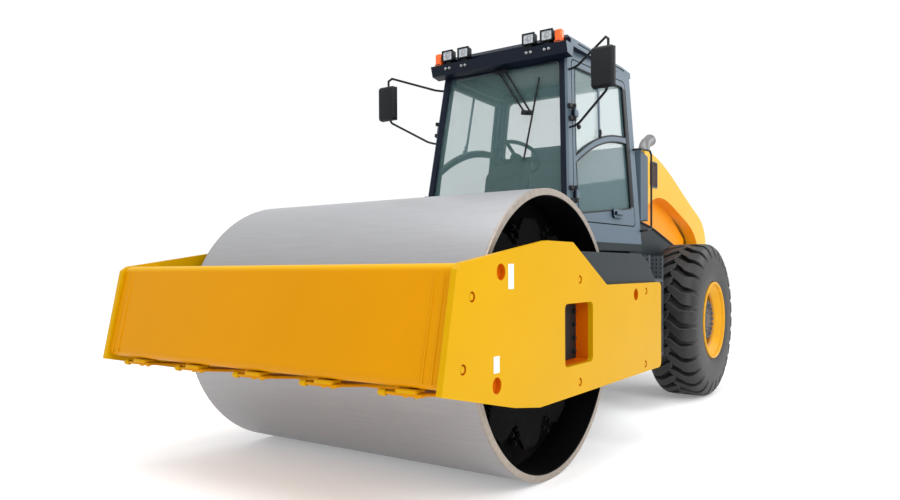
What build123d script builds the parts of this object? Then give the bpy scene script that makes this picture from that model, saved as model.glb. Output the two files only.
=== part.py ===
from build123d import *
from math import atan2, cos, degrees, hypot, radians, sin, tan
import os

# A single-drum road roller, articulated behind the drum, in millimetres.
# +X points forward, +Y to the machine's left, +Z up; the origin is on the ground
# below the middle of the machine's length.

# Overall layout
front_reach = 1262
wheelbase = 3150
pivot_behind_drum = 1570
hitch_height = 780
drum_side_gap = 35
running_gap = 0.1

# Drum
drum_radius = 800
drum_width = 2130
drum_shell_wall = 40
drum_head_inset = 230
drum_head_wall = 30
drive_disc_radius = 525
drive_disc_wall = 24
lobe_radius = 86
buffer_radius = 60
buffer_length = 70
buffer_circle = 560
buffer_count = 10
journal_radius = 90
journal_length = 60

# Drum frame
side_plate_wall = 30
lift_hole_radius = 38
bolt_hole_radius = 24
arm_wall = 90
beam_bottom = 665
beam_top = 1185
beam_back = 905
beam_front_top = 1125
beam_front_bottom = 1245
beam_face_wall = 14
beam_corner_radius = 40
plate_bottom = 480
plate_deck = 1064
plate_peak = 1300
plate_rear = 1346
window_width = 355
window_height = 334
window_middle = (-20, 808)
pocket_wall = 14
pocket_gap = 106
pocket_back_wall = 20
carrier_plate_wall = 12
yoke_front = 870
yoke_rear = 1280
yoke_bottom = 620
yoke_top = 1080
arm_top = 1255
yoke_boss_radius = 160
yoke_boss_length = 75
scraper_spacing = 500
scraper_count = 4
scraper_width = 260

# Hitch and steering
hitch_shaft_radius = 80
hitch_shaft_depth = 160
hitch_eye_radius = 105
hitch_eye_height = 300
steering_pin_radius = 45
fork_wall = 40
fork_gap = 6
steer_lug_x = 20
steer_lug_y = 220
steer_anchor_x = 630
steer_anchor_y = 260
cylinder_radius = 48
cylinder_neck_radius = 29
rod_radius = 25
cylinder_eye_radius = 48
cylinder_eye_height = 60
cylinder_pin_radius = 20
anchor_wall = 20

# Wheels and axle
tyre_radius = 690
tyre_width = 445
tyre_middle = 887
tyre_flank = 460
shoulder_drop = 75
shoulder_width = 52
bead_radius = 335
groove_count = 22
groove_width = 34
groove_reach = 300
groove_floor = 640
groove_slant = 34
groove_tilt = 11
rim_wall = 12
rim_width = 400
disc_inset = 140
disc_wall = 24
dish_radius = 248
dish_depth = 72
hub_radius = 186
hub_cap_radius = 95
hub_depth = 45
axle_tube_radius = 105
brake_radius = 170
differential_radius = 230
spindle_radius = 60

# Rear frame
rail_wall = 40
rail_y = 440
rail_top = 1300
rail_bottom = 820
frame_foot_drop = 220
front_bulkhead = 1790
rear_bulkhead = 4440
engine_bottom = 1080
bumper_depth = 130
tail_lamp_depth = 20
hood_hinge = (4490, 1270)
hood_hinge_y = 300
hinge_pin_radius = 15

# Cab, as heights and places behind the drum axle
cab_bottom = 1360
cab_top = 2780
cab_front_bottom = 1070
cab_front_top = 1270
cab_rear_bottom = 2280
cab_rear_top = 2340
cab_half_front = 660
cab_side_taper = 0.07
cab_side_lean = 0.0944
cab_wall = 55
glass_wall = 8
floor_wall = 60
roof_thickness = 90

os.makedirs("parts", exist_ok=True)

# Places along the machine, with its middle at x = 0
rear_reach = rear_bulkhead + 30 + bumper_depth + tail_lamp_depth
drum_x = (rear_reach - front_reach) / 2
axle_x = drum_x - wheelbase
pivot_x = drum_x - pivot_behind_drum


def behind(distance):
    """Global x of a place this far behind the drum axle."""
    return drum_x - distance


def cab_half(distance, height):
    """Half width of the cab's outer skin at a place behind the drum axle and a height."""
    return (
        cab_half_front
        + cab_side_taper * (distance - cab_front_bottom)
        - cab_side_lean * (height - cab_bottom)
    )


def xz(y):
    """Plane at y whose sketch reads x and z, and which extrudes towards -Y."""
    return Plane.XZ.offset(-y)


# Drum: shell, heads, drive discs on rubber buffers, journals
drum_plane = Plane(origin=(drum_x, 0, drum_radius), z_dir=(0, 1, 0))

with BuildPart() as drum_shell:
    with BuildSketch(drum_plane):
        Circle(drum_radius)
        Circle(drum_radius - drum_shell_wall, mode=Mode.SUBTRACT)
    extrude(amount=drum_width / 2, both=True)
    chamfer(drum_shell.edges().filter_by(GeomType.CIRCLE), 4)
drum_shell.part.label = "drum_shell"

head_y = drum_width / 2 - drum_head_inset
disc_y = head_y + buffer_length
journal_end = disc_y + drive_disc_wall + journal_length

with BuildPart() as drum_heads:
    for side in (1, -1):
        with BuildSketch(drum_plane.offset(side * head_y)):
            Circle(drum_radius - drum_shell_wall)
        extrude(amount=-side * drum_head_wall)
drum_heads.part.label = "drum_heads"

with BuildPart() as exciter_housing:
    with BuildSketch(drum_plane):
        Circle(210)
    extrude(amount=head_y - drum_head_wall, both=True)
exciter_housing.part.label = "exciter_housing"

with BuildPart() as drum_buffers:
    for side in (1, -1):
        with BuildSketch(drum_plane.offset(side * head_y)):
            with PolarLocations(buffer_circle, buffer_count):
                RegularPolygon(buffer_radius, 10)
        extrude(amount=side * buffer_length)
drum_buffers.part.label = "drum_buffers"


def star_outline():
    """Corners of the drive disc, with a lobe over each rubber buffer."""
    pitch = 360 / buffer_count
    corners = []
    for number in range(buffer_count):
        for share, reach in (
            (-0.42, drive_disc_radius),
            (-0.30, buffer_circle + 0.45 * lobe_radius),
            (-0.17, buffer_circle + lobe_radius),
            (0.17, buffer_circle + lobe_radius),
            (0.30, buffer_circle + 0.45 * lobe_radius),
            (0.42, drive_disc_radius),
        ):
            turn = radians(pitch * (number + share))
            corners.append((reach * cos(turn), reach * sin(turn)))
    return corners


with BuildPart() as drive_discs:
    for side in (1, -1):
        with BuildSketch(drum_plane.offset(side * disc_y)):
            with BuildLine():
                Polyline(*star_outline(), close=True)
            make_face()
        extrude(amount=side * drive_disc_wall)
        with BuildSketch(drum_plane.offset(side * (disc_y + drive_disc_wall))):
            Circle(journal_radius)
        extrude(amount=side * journal_length)
drive_discs.part.label = "drive_discs"

# Drum frame: side plates, front beam, rear yoke
plate_y = drum_width / 2 + drum_side_gap + arm_wall + side_plate_wall
pocket_depth = plate_y - journal_end - pocket_gap
plate_inner = plate_y - side_plate_wall
arm_inner = plate_inner - arm_wall
window_x = behind(-window_middle[0])
window_z = window_middle[1]
bolt_places = [(1039, 1042), (1110, 743), (-29, 1100), (-25, 545), (-1050, 1010), (-1038, 531)]

with BuildPart() as side_plate_left:
    with BuildSketch(xz(plate_y)):
        with BuildLine():
            Polyline(
                (behind(plate_rear), plate_bottom),
                (behind(-436), plate_bottom),
                (behind(-682), 517),
                (behind(-front_reach), 650),
                (behind(-1150), 1160),
                (behind(-1113), 1186),
                (behind(-356), plate_peak),
                (behind(-57), plate_peak),
                (behind(399), plate_deck),
                (behind(plate_rear), plate_deck),
                close=True,
            )
        make_face()
        fillet(vertices().group_by(Axis.X)[0], 40)
        with Locations((window_x, window_z)):
            RectangleRounded(window_width, window_height, 30, mode=Mode.SUBTRACT)
        with Locations(*[(drum_x + x, z) for x, z in bolt_places]):
            RegularPolygon(bolt_hole_radius, 12, mode=Mode.SUBTRACT)
        with Locations((drum_x + 802, 1146), (drum_x + 841, 641), (behind(867), 993)):
            Circle(lift_hole_radius, mode=Mode.SUBTRACT)
    extrude(amount=side_plate_wall)
side_plate_left.part.label = "side_plate_left"

with BuildPart() as side_plate_right:
    mirror(side_plate_left.part, about=Plane.XZ)
side_plate_right.part.label = "side_plate_right"

with BuildPart() as front_beam:
    with BuildSketch(xz(plate_inner)):
        with BuildLine():
            Polyline(
                (behind(-beam_back), beam_bottom),
                (behind(-beam_front_bottom), beam_bottom),
                (behind(-beam_front_top), beam_top),
                (behind(-beam_back), beam_top),
                close=True,
            )
        make_face()
        fillet(vertices().sort_by(Axis.X)[-2:], beam_corner_radius)
    extrude(amount=2 * plate_inner)
front_beam.part.label = "front_beam"

# Scraper: blade in front of the drum on four holders that hang from the beam
scraper_z = 590
scraper_gap = 15
scraper_bar_x = 1150
with BuildPart() as scraper:
    blade_edge = (drum_radius ** 2 - (drum_radius - scraper_z - 8) ** 2) ** 0.5 + scraper_gap
    with Locations((behind(-blade_edge - 60), 0, scraper_z)):
        Box(120, (scraper_count - 1) * scraper_spacing + scraper_width, 16)
    for number in range(scraper_count):
        y = (number - (scraper_count - 1) / 2) * scraper_spacing
        with BuildSketch(xz(y + scraper_width / 2)):
            with BuildLine():
                Polyline(
                    (behind(-blade_edge - 60), scraper_z - 22),
                    (behind(-scraper_bar_x - 40), scraper_z - 22),
                    (behind(-scraper_bar_x - 40), scraper_z + 6),
                    (behind(-blade_edge - 60), scraper_z + 8),
                    close=True,
                )
            make_face()
        extrude(amount=scraper_width)
        with BuildSketch(xz(y + scraper_width / 2 + 15)):
            with Locations((behind(-scraper_bar_x), scraper_z + 18)):
                RegularPolygon(20, 8)
        extrude(amount=scraper_width + 30)
        with Locations((behind(-scraper_bar_x + 40), y, (scraper_z + beam_bottom) / 2 + 3)):
            Box(150, 70, beam_bottom - scraper_z - 6)
scraper.part.label = "scraper"

with BuildPart() as drum_carriers:
    for side in (1, -1):
        with BuildSketch(xz(side * plate_inner)):
            with Locations((window_x, window_z)):
                Rectangle(window_width + 2 * pocket_wall, window_height + 2 * pocket_wall)
            chamfer(vertices(), 20)
        extrude(amount=side * (pocket_depth - side_plate_wall))
        with BuildSketch(xz(side * plate_inner)):
            with Locations((window_x, window_z)):
                Rectangle(window_width, window_height)
            chamfer(vertices(), 12)
        extrude(amount=side * (pocket_depth - side_plate_wall - pocket_back_wall), mode=Mode.SUBTRACT)
        with BuildSketch(drum_plane.offset(side * (plate_y - pocket_depth))):
            Circle(journal_radius + 40)
        extrude(amount=-side * (plate_y - pocket_depth - journal_end + 45))
        with BuildSketch(drum_plane.offset(side * (journal_end + 3))):
            Circle(journal_radius + running_gap)
        extrude(amount=-side * 60, mode=Mode.SUBTRACT)
drum_carriers.part.label = "drum_carriers"

with BuildPart() as carrier_plates:
    plate_foot = plate_y - pocket_depth + pocket_back_wall
    for side in (1, -1):
        with BuildSketch(xz(side * (plate_foot + carrier_plate_wall))):
            with Locations((window_x, window_z)):
                Rectangle(window_width - 50, window_height - 30)
        extrude(amount=side * carrier_plate_wall)
        with BuildSketch(xz(side * (plate_foot + 2 * carrier_plate_wall))):
            with Locations((window_x, window_z)):
                with GridLocations(window_width - 110, 75, 2, 4):
                    RegularPolygon(13, 6)
        extrude(amount=side * carrier_plate_wall)
carrier_plates.part.label = "carrier_plates"

with BuildPart() as rear_yoke:
    with Locations((behind((yoke_front + yoke_rear) / 2), 0, (yoke_bottom + yoke_top) / 2)):
        Box(yoke_rear - yoke_front, 2 * plate_inner, yoke_top - yoke_bottom)
    for side in (1, -1):
        with BuildSketch(xz(side * plate_inner)):
            with BuildLine():
                Polyline(
                    (behind(300), 560),
                    (behind(plate_rear - 16), 560),
                    (behind(plate_rear - 16), plate_deck),
                    (behind(1172), arm_top - 55),
                    (behind(1040), arm_top),
                    (behind(110), arm_top),
                    (behind(110), window_z + window_height / 2 + pocket_wall + 10),
                    (behind(300), window_z + window_height / 2 + pocket_wall + 10),
                    close=True,
                )
            make_face()
        extrude(amount=side * arm_wall)
    with BuildSketch(Plane(origin=(behind(yoke_rear), 0, hitch_height), z_dir=(-1, 0, 0))):
        Circle(yoke_boss_radius)
    extrude(amount=yoke_boss_length)
    yoke_mouth = behind(yoke_rear) - yoke_boss_length
    with BuildSketch(Plane(origin=(yoke_mouth, 0, hitch_height), z_dir=(1, 0, 0))):
        Circle(hitch_shaft_radius)
    extrude(amount=hitch_shaft_depth + 10, mode=Mode.SUBTRACT)
rear_yoke.part.label = "rear_yoke"

# Heights that the hitch and the frame behind it share
lug_z = hitch_height - 70
cylinder_z = lug_z + 30 + 5 + cylinder_eye_height / 2

# Hitch: shaft in the yoke's bearing, eye around the steering pin
boss_face = behind(yoke_rear) - yoke_boss_length
hitch_face = boss_face - 3

with BuildPart() as hitch:
    with BuildSketch(Plane(origin=(hitch_face, 0, hitch_height), z_dir=(1, 0, 0))):
        Circle(hitch_shaft_radius - running_gap)
    extrude(amount=hitch_shaft_depth)
    with BuildSketch(Plane(origin=(hitch_face, 0, hitch_height), z_dir=(-1, 0, 0))):
        Circle(yoke_boss_radius - 5)
    extrude(amount=40)
    with Locations((pivot_x, 0, hitch_height)):
        Cylinder(hitch_eye_radius, hitch_eye_height)
    with Locations(((hitch_face + pivot_x) / 2, 0, hitch_height)):
        Box(hitch_face - pivot_x, 2 * hitch_eye_radius, hitch_eye_height - 60)
    with BuildSketch(Plane.XY.offset(lug_z)):
        for side in (1, -1):
            with BuildLine():
                Polyline(
                    (pivot_x - 40, side * 60),
                    (pivot_x + 90, side * 60),
                    (pivot_x + steer_lug_x + 46, side * steer_lug_y),
                    (pivot_x + steer_lug_x - 46, side * steer_lug_y),
                    close=True,
                )
            make_face()
            with Locations((pivot_x + steer_lug_x, side * steer_lug_y)):
                Circle(52)
            Circle(cylinder_pin_radius + 2, mode=Mode.SUBTRACT)
    extrude(amount=30)
    with Locations((pivot_x, 0, hitch_height)):
        Cylinder(steering_pin_radius + running_gap, hitch_eye_height + 2, mode=Mode.SUBTRACT)
hitch.part.label = "hitch"

# Rear frame
fork_half = hitch_eye_height / 2 + fork_gap
frame_foot = hitch_height - frame_foot_drop

with BuildPart() as chassis:
    for side in (1, -1):
        with BuildSketch(xz(side * (rail_y + rail_wall / 2))):
            with BuildLine():
                Polyline(
                    (behind(front_bulkhead), frame_foot),
                    (behind(front_bulkhead + 560), frame_foot),
                    (behind(front_bulkhead + 760), rail_bottom),
                    (behind(rear_bulkhead), rail_bottom),
                    (behind(rear_bulkhead), rail_top - 60),
                    (behind(2600), rail_top),
                    (behind(front_bulkhead), rail_top),
                    close=True,
                )
            make_face()
        extrude(amount=side * rail_wall)
    for place, low, high in (
        (front_bulkhead, frame_foot, 1200),
        (2520, 860, 1200),
        (3000, 960, engine_bottom),
        (3700, 960, engine_bottom),
        (rear_bulkhead, rail_bottom, 1200),
    ):
        with Locations((behind(place) - 15, 0, (low + high) / 2)):
            Box(30, 2 * rail_y, high - low)
    for side in (1, -1):
        slot_y = side * (steer_anchor_y + steer_lug_y - 30) / 2
        with Locations((behind(front_bulkhead) - 15, slot_y, cylinder_z)):
            Box(32, 190, 170, mode=Mode.SUBTRACT)
        anchor_reach = rail_y - rail_wall / 2 - steer_anchor_y + 60
        anchor_middle = side * (steer_anchor_y - 60 + anchor_reach / 2)
        with Locations((pivot_x - steer_anchor_x, anchor_middle, cylinder_z)):
            with Locations((0, 0, cylinder_eye_height / 2 + 5 + anchor_wall / 2)):
                Box(120, anchor_reach, anchor_wall)
            with Locations((0, 0, -cylinder_eye_height / 2 - 5 - anchor_wall / 2)):
                Box(120, anchor_reach, anchor_wall)
        with Locations((pivot_x - steer_anchor_x, side * steer_anchor_y, cylinder_z)):
            Cylinder(cylinder_pin_radius, cylinder_eye_height + 2 * anchor_wall)
        with Locations((behind(hood_hinge[0]), side * hood_hinge_y, (1180 + hood_hinge[1]) / 2)):
            Box(60, 24, hood_hinge[1] - 1180)
        with BuildSketch(xz(side * hood_hinge_y + 12)):
            with Locations((behind(hood_hinge[0]), hood_hinge[1])):
                RegularPolygon(30, 10)
        extrude(amount=24)
    with BuildSketch(xz(hood_hinge_y + 20)):
        with Locations((behind(hood_hinge[0]), hood_hinge[1])):
            Circle(hinge_pin_radius + running_gap)
    extrude(amount=2 * hood_hinge_y + 40, mode=Mode.SUBTRACT)
    for side in (1, -1):
        fork_z = hitch_height + side * (fork_half + fork_wall / 2)
        with BuildSketch(Plane.XY.offset(fork_z - fork_wall / 2)):
            with BuildLine():
                Polyline(
                    (pivot_x, 120),
                    (behind(front_bulkhead), rail_y),
                    (behind(front_bulkhead + 160), rail_y),
                    (behind(front_bulkhead + 160), -rail_y),
                    (behind(front_bulkhead), -rail_y),
                    (pivot_x, -120),
                    close=True,
                )
            make_face()
            with Locations((pivot_x, 0)):
                RegularPolygon(120, 16)
                Circle(steering_pin_radius, mode=Mode.SUBTRACT)
        extrude(amount=fork_wall)
chassis.part.label = "chassis"

with BuildPart() as steering_pin:
    with Locations((pivot_x, 0, hitch_height)):
        Cylinder(steering_pin_radius, 2 * (fork_half + fork_wall))
    with Locations((pivot_x, 0, hitch_height + fork_half + fork_wall + 10)):
        Cylinder(steering_pin_radius + 25, 20)
steering_pin.part.label = "steering_pin"

# Steering cylinders, barrel on the rear frame and rod eye over the hitch's lug
cylinder_length = hypot(steer_anchor_x + steer_lug_x, steer_anchor_y - steer_lug_y)
cylinder_turn = degrees(atan2(steer_lug_y - steer_anchor_y, steer_anchor_x + steer_lug_x))


def cylinder_plane(side):
    """Plane at the rear eye's centre, looking along the cylinder to the hitch."""
    return Plane(
        origin=(pivot_x - steer_anchor_x, side * steer_anchor_y, cylinder_z),
        x_dir=(0, 0, 1),
        z_dir=(cos(radians(cylinder_turn)), side * sin(radians(cylinder_turn)), 0),
    )


barrel_end = cylinder_length - 270
rod_start = 245
bore_start = 112


def make_barrel(side):
    with BuildPart() as barrel:
        with BuildSketch(cylinder_plane(side)):
            RegularPolygon(cylinder_neck_radius, 10)
        extrude(amount=100)
        with BuildSketch(cylinder_plane(side).offset(80)):
            RegularPolygon(cylinder_radius, 12)
        extrude(amount=barrel_end - 80)
        with Locations((pivot_x - steer_anchor_x, side * steer_anchor_y, cylinder_z)):
            Cylinder(cylinder_eye_radius, cylinder_eye_height)
            Cylinder(cylinder_pin_radius + running_gap, 2 * cylinder_eye_height, mode=Mode.SUBTRACT)
        with BuildSketch(cylinder_plane(side).offset(bore_start)):
            Circle(rod_radius + running_gap)
        extrude(amount=barrel_end, mode=Mode.SUBTRACT)
    return barrel


def make_rod(side):
    with BuildPart() as rod:
        with BuildSketch(cylinder_plane(side).offset(rod_start)):
            Circle(rod_radius)
        extrude(amount=cylinder_length - rod_start)
        with Locations((pivot_x + steer_lug_x, side * steer_lug_y, cylinder_z)):
            Cylinder(cylinder_eye_radius, cylinder_eye_height)
        head_z = cylinder_z + cylinder_eye_height / 2 + 9
        with Locations((pivot_x + steer_lug_x, side * steer_lug_y, head_z)):
            Cylinder(cylinder_pin_radius + 14, 18)
    return rod


steer_barrel_left = make_barrel(1)
steer_barrel_left.part.label = "steer_barrel_left"
steer_barrel_right = make_barrel(-1)
steer_barrel_right.part.label = "steer_barrel_right"
steer_rod_left = make_rod(1)
steer_rod_left.part.label = "steer_rod_left"
steer_rod_right = make_rod(-1)
steer_rod_right.part.label = "steer_rod_right"

# Rear axle and wheels
wheel_plane = Plane(origin=(axle_x, 0, tyre_radius), z_dir=(0, 1, 0))
disc_y_rear = tyre_middle + rim_width / 2 - disc_inset
axle_end = disc_y_rear - 40

with BuildPart() as rear_axle:
    with BuildSketch(wheel_plane):
        RegularPolygon(axle_tube_radius, 16)
    extrude(amount=axle_end - 160, both=True)
    with BuildSketch(Plane(origin=(axle_x, 0, tyre_radius), x_dir=(1, 0, 0), z_dir=(0, 0, 1))):
        with BuildLine():
            Polyline(
                (0, -240), (axle_tube_radius, -240), (differential_radius - 40, -110),
                (differential_radius - 40, 110), (axle_tube_radius, 240), (0, 240), close=True,
            )
        make_face()
    revolve(axis=Axis((axle_x, 0, tyre_radius), (0, 1, 0)))
    for side in (1, -1):
        with BuildSketch(wheel_plane.offset(side * (axle_end - 160))):
            RegularPolygon(brake_radius, 20)
        extrude(amount=side * 155)
        with BuildSketch(wheel_plane.offset(side * (axle_end - 10))):
            Circle(spindle_radius)
        extrude(amount=side * (disc_y_rear + 20 - axle_end + 10))
    saddle_z = (tyre_radius + rail_bottom) / 2
    with Locations((axle_x, rail_y, saddle_z), (axle_x, -rail_y, saddle_z)):
        Box(240, 90, rail_bottom - tyre_radius)
rear_axle.part.label = "rear_axle"


def wheel_section(side):
    """Plane through one wheel's axle that reads the reach from it and the place along it."""
    return Plane(origin=(axle_x, side * tyre_middle, tyre_radius), x_dir=(1, 0, 0), z_dir=(0, 0, 1))


def tread_grooves(side):
    """Slanting grooves from the tyre's middle over both shoulders, half a pitch apart."""
    pitch = 360 / groove_count
    grooves = []
    for half, lag in ((1, 0), (-1, pitch / 2)):
        groove = Pos(0, half * groove_reach / 2, groove_floor + 50)
        groove = groove * Rot(-half * groove_tilt, 0, -half * groove_slant)
        groove = groove * Box(groove_width, groove_reach / cos(radians(groove_slant)), 100)
        for number in range(groove_count):
            turn = Rot(0, lag + number * pitch, 0)
            grooves.append(Pos(axle_x, side * tyre_middle, tyre_radius) * turn * groove)
    return grooves


def make_tyre(side):
    grooves = tread_grooves(side)
    with BuildPart() as tyre:
        with BuildSketch(wheel_section(side)):
            with BuildLine():
                Polyline(
                    (bead_radius, rim_width / 2),
                    (tyre_flank, tyre_width / 2),
                    (tyre_radius - shoulder_drop, tyre_width / 2),
                    (tyre_radius, tyre_width / 2 - shoulder_width),
                    (tyre_radius, -tyre_width / 2 + shoulder_width),
                    (tyre_radius - shoulder_drop, -tyre_width / 2),
                    (tyre_flank, -tyre_width / 2),
                    (bead_radius, -rim_width / 2),
                    close=True,
                )
            make_face()
        revolve(axis=Axis((axle_x, 0, tyre_radius), (0, 1, 0)))
        add(grooves, mode=Mode.SUBTRACT)
    return tyre


def make_rim(side):
    """Deep-dished rim: cone from the lip, barrel, disc and the hub's closed cap."""
    disc_face = rim_width / 2 - disc_inset
    with BuildPart() as rim:
        with BuildSketch(wheel_section(side)):
            with BuildLine():
                Polyline(*[(reach, side * place) for reach, place in (
                    (bead_radius, -rim_width / 2),
                    (bead_radius, rim_width / 2),
                    (bead_radius - rim_wall, rim_width / 2),
                    (dish_radius, rim_width / 2 - dish_depth),
                    (dish_radius, disc_face),
                    (spindle_radius, disc_face),
                    (spindle_radius, disc_face - disc_wall),
                    (dish_radius + rim_wall, disc_face - disc_wall),
                    (dish_radius + rim_wall, rim_width / 2 - dish_depth - 10),
                    (bead_radius - rim_wall - 8, rim_width / 2 - 28),
                    (bead_radius - rim_wall - 8, -rim_width / 2),
                )], close=True)
            make_face()
        revolve(axis=Axis((axle_x, 0, tyre_radius), (0, 1, 0)))
        with BuildSketch(wheel_plane.offset(side * (disc_y_rear - 4))):
            Circle(hub_radius)
        extrude(amount=side * (hub_depth - 16))
        with BuildSketch(wheel_plane.offset(side * disc_y_rear)):
            RegularPolygon(hub_cap_radius, 16)
        extrude(amount=side * hub_depth)
        with BuildSketch(wheel_plane.offset(side * (disc_y_rear + 23))):
            Circle(spindle_radius + running_gap)
        extrude(amount=-side * 70, mode=Mode.SUBTRACT)
    return rim


tyre_left = make_tyre(1)
tyre_left.part.label = "tyre_left"
tyre_right = make_tyre(-1)
tyre_right.part.label = "tyre_right"
rim_left = make_rim(1)
rim_left.part.label = "rim_left"
rim_right = make_rim(-1)
rim_right.part.label = "rim_right"

# Engine, side tanks, bumper
with BuildPart() as engine:
    with Locations((behind(3350), 0, engine_bottom + 310)):
        Box(1100, 620, 620)
engine.part.label = "engine"

tank_inner = rail_y + rail_wall / 2
tank_outer = 630

tank_front = 2290
tank_crest = (2460, 1577)
tank_shoulder = (2840, 1525)


def tank_top(distance):
    """Height of the side tanks' top at a place behind the drum axle."""
    if distance < tank_crest[0]:
        return tank_crest[1] - 0.147 * (tank_crest[0] - distance)
    run = (distance - tank_crest[0]) / (tank_shoulder[0] - tank_crest[0])
    return tank_crest[1] + run * (tank_shoulder[1] - tank_crest[1])


with BuildPart() as side_tanks:
    for side in (1, -1):
        with BuildSketch(xz(side * tank_outer)):
            with BuildLine():
                Polyline(
                    (behind(tank_front), 780),
                    (behind(tank_front), tank_top(tank_front)),
                    (behind(tank_crest[0]), tank_crest[1]),
                    (behind(tank_shoulder[0]), tank_shoulder[1]),
                    (behind(3471), 1377),
                    (behind(4200), 1100),
                    (behind(4200), 960),
                    (behind(2700), 960),
                    (behind(2560), 780),
                    close=True,
                )
            make_face()
        extrude(amount=side * (tank_outer - tank_inner))
side_tanks.part.label = "side_tanks"

with BuildPart() as rear_bumper:
    with Locations((behind(rear_bulkhead) - 30 - bumper_depth / 2, 0, 960)):
        Box(bumper_depth, 1180, 300)
    fillet(rear_bumper.edges().filter_by(Axis.Z), 40)
rear_bumper.part.label = "rear_bumper"

# Hood: thin shell over the engine, hinged at the rear
hood_half = 620
hood_wall = 12
hood_front = 2690
hood_rear = rear_bulkhead + 160
hood_low = 1240
hood_skirt = 1440
hood_crown = 2213
hood_tail = 1394
hood_line = [(3095, 2158), (3695, 1950), (4206, 1757), (4504, 1610)]
arch_line = [(2600, 1600), (3094, 1818), (3694, 1695), (4278, 1398), (4330, hood_low)]
arch_lip = 14
arch_lip_depth = 110
vent_middle = (2915, 2015)
vent_size = (180, 230)


def hood_face(y, inset):
    """Side outline of the hood on the plane at y, drawn this far inside its skin."""
    with BuildSketch(xz(y)) as outline:
        with BuildLine():
            l1 = Polyline(
                (behind(hood_front), hood_skirt),
                (behind(hood_front), hood_crown - inset),
                (behind(hood_front + 70), hood_crown - inset),
            )
            l2 = Spline(
                l1 @ 1,
                *[(behind(place), height - inset) for place, height in hood_line],
                (behind(hood_rear - inset), hood_tail),
            )
            Polyline(
                l2 @ 1,
                (behind(hood_rear - inset), hood_low),
                (behind(arch_line[3][0]), hood_low),
                (behind(arch_line[3][0]), hood_skirt),
                l1 @ 0,
            )
        make_face()
    return outline.sketch


def arch_face(y, rise):
    """Region below the hood's arched lower edge, raised by a lip's wall, on the plane at y."""
    with BuildSketch(xz(y)) as arch:
        with BuildLine():
            edge = Spline(*[(behind(place), height + rise) for place, height in arch_line])
            Polyline(
                edge @ 1,
                (behind(arch_line[-1][0]), hood_low - 40),
                (behind(arch_line[0][0]), hood_low - 40),
                edge @ 0,
            )
        make_face()
    return arch.sketch


with BuildPart() as hood:
    extrude(hood_face(hood_half, 0), amount=2 * hood_half)
    inner_half = hood_half - hood_wall
    extrude(hood_face(inner_half, hood_wall), amount=2 * inner_half, mode=Mode.SUBTRACT)
    for side in (1, -1):
        extrude(arch_face(side * hood_half, arch_lip), amount=side * arch_lip_depth)
    extrude(arch_face(hood_half + 1, 0), amount=2 * hood_half + 2, mode=Mode.SUBTRACT)
    for side in (1, -1):
        with BuildSketch(xz(side * (hood_half + 1))):
            with Locations((behind(vent_middle[0]), vent_middle[1])):
                RectangleRounded(*vent_size, 20)
        extrude(amount=side * (hood_wall + 2), mode=Mode.SUBTRACT)
    for side in (1, -1):
        with BuildSketch(xz(side * (hood_hinge_y + 30) + 8)):
            with Locations((behind(hood_hinge[0]), hood_hinge[1])):
                Circle(26)
            with Locations((behind((hood_hinge[0] + hood_rear - 8) / 2), hood_hinge[1])):
                Rectangle(hood_rear - 8 - hood_hinge[0], 44)
        extrude(amount=16)
    for side in (1, -1):
        with BuildSketch(xz(side * (hood_hinge_y - 14))):
            with Locations((behind(hood_hinge[0]), hood_hinge[1])):
                Circle(hinge_pin_radius)
        extrude(amount=-side * 46)
hood.part.label = "hood"

with BuildPart() as hood_grilles:
    for side in (1, -1):
        with BuildSketch(xz(side * (hood_half - 2))):
            with Locations((behind(vent_middle[0]), vent_middle[1])):
                RectangleRounded(*vent_size, 20)
        extrude(amount=side * 8)
hood_grilles.part.label = "hood_grilles"

with BuildPart() as exhaust:
    with BuildLine() as exhaust_line:
        FilletPolyline(
            (behind(3130), 450, 2090),
            (behind(3130), 450, 2330),
            (behind(3300), 450, 2400),
            radius=60,
        )
    with BuildSketch(Plane(origin=exhaust_line.line @ 0, z_dir=exhaust_line.line % 0)):
        RegularPolygon(55, 16)
    sweep()
    extrude(hood_face(hood_half, 0), amount=2 * hood_half, mode=Mode.SUBTRACT)
exhaust.part.label = "exhaust"

# Cab: floor, hollow frame, roof
with BuildPart() as cab_floor:
    with BuildSketch(Plane.XY.offset(cab_bottom - floor_wall)):
        with BuildLine():
            Polyline(
                (behind(cab_front_bottom), cab_half(cab_front_bottom, cab_bottom)),
                (behind(cab_rear_bottom), cab_half(cab_rear_bottom, cab_bottom)),
                (behind(cab_rear_bottom), -cab_half(cab_rear_bottom, cab_bottom)),
                (behind(cab_front_bottom), -cab_half(cab_front_bottom, cab_bottom)),
                close=True,
            )
        make_face()
    extrude(amount=floor_wall)
    beam_middle = behind((1110 + front_bulkhead) / 2)
    with Locations((beam_middle, 300, rail_top - 30), (beam_middle, -300, rail_top - 30)):
        Box(front_bulkhead - 1110, 80, 60)
cab_floor.part.label = "cab_floor"


def cab_ring(height, front, rear, inset):
    """Plan outline of the cab at a height, drawn inside its skin by the inset."""
    with BuildSketch(Plane.XY.offset(height)) as ring:
        with BuildLine():
            Polyline(
                (behind(front) - inset, cab_half(front, height) - inset),
                (behind(rear) + inset, cab_half(rear, height) - inset),
                (behind(rear) + inset, -cab_half(rear, height) + inset),
                (behind(front) - inset, -cab_half(front, height) + inset),
                close=True,
            )
        make_face()
    return ring.sketch


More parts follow.
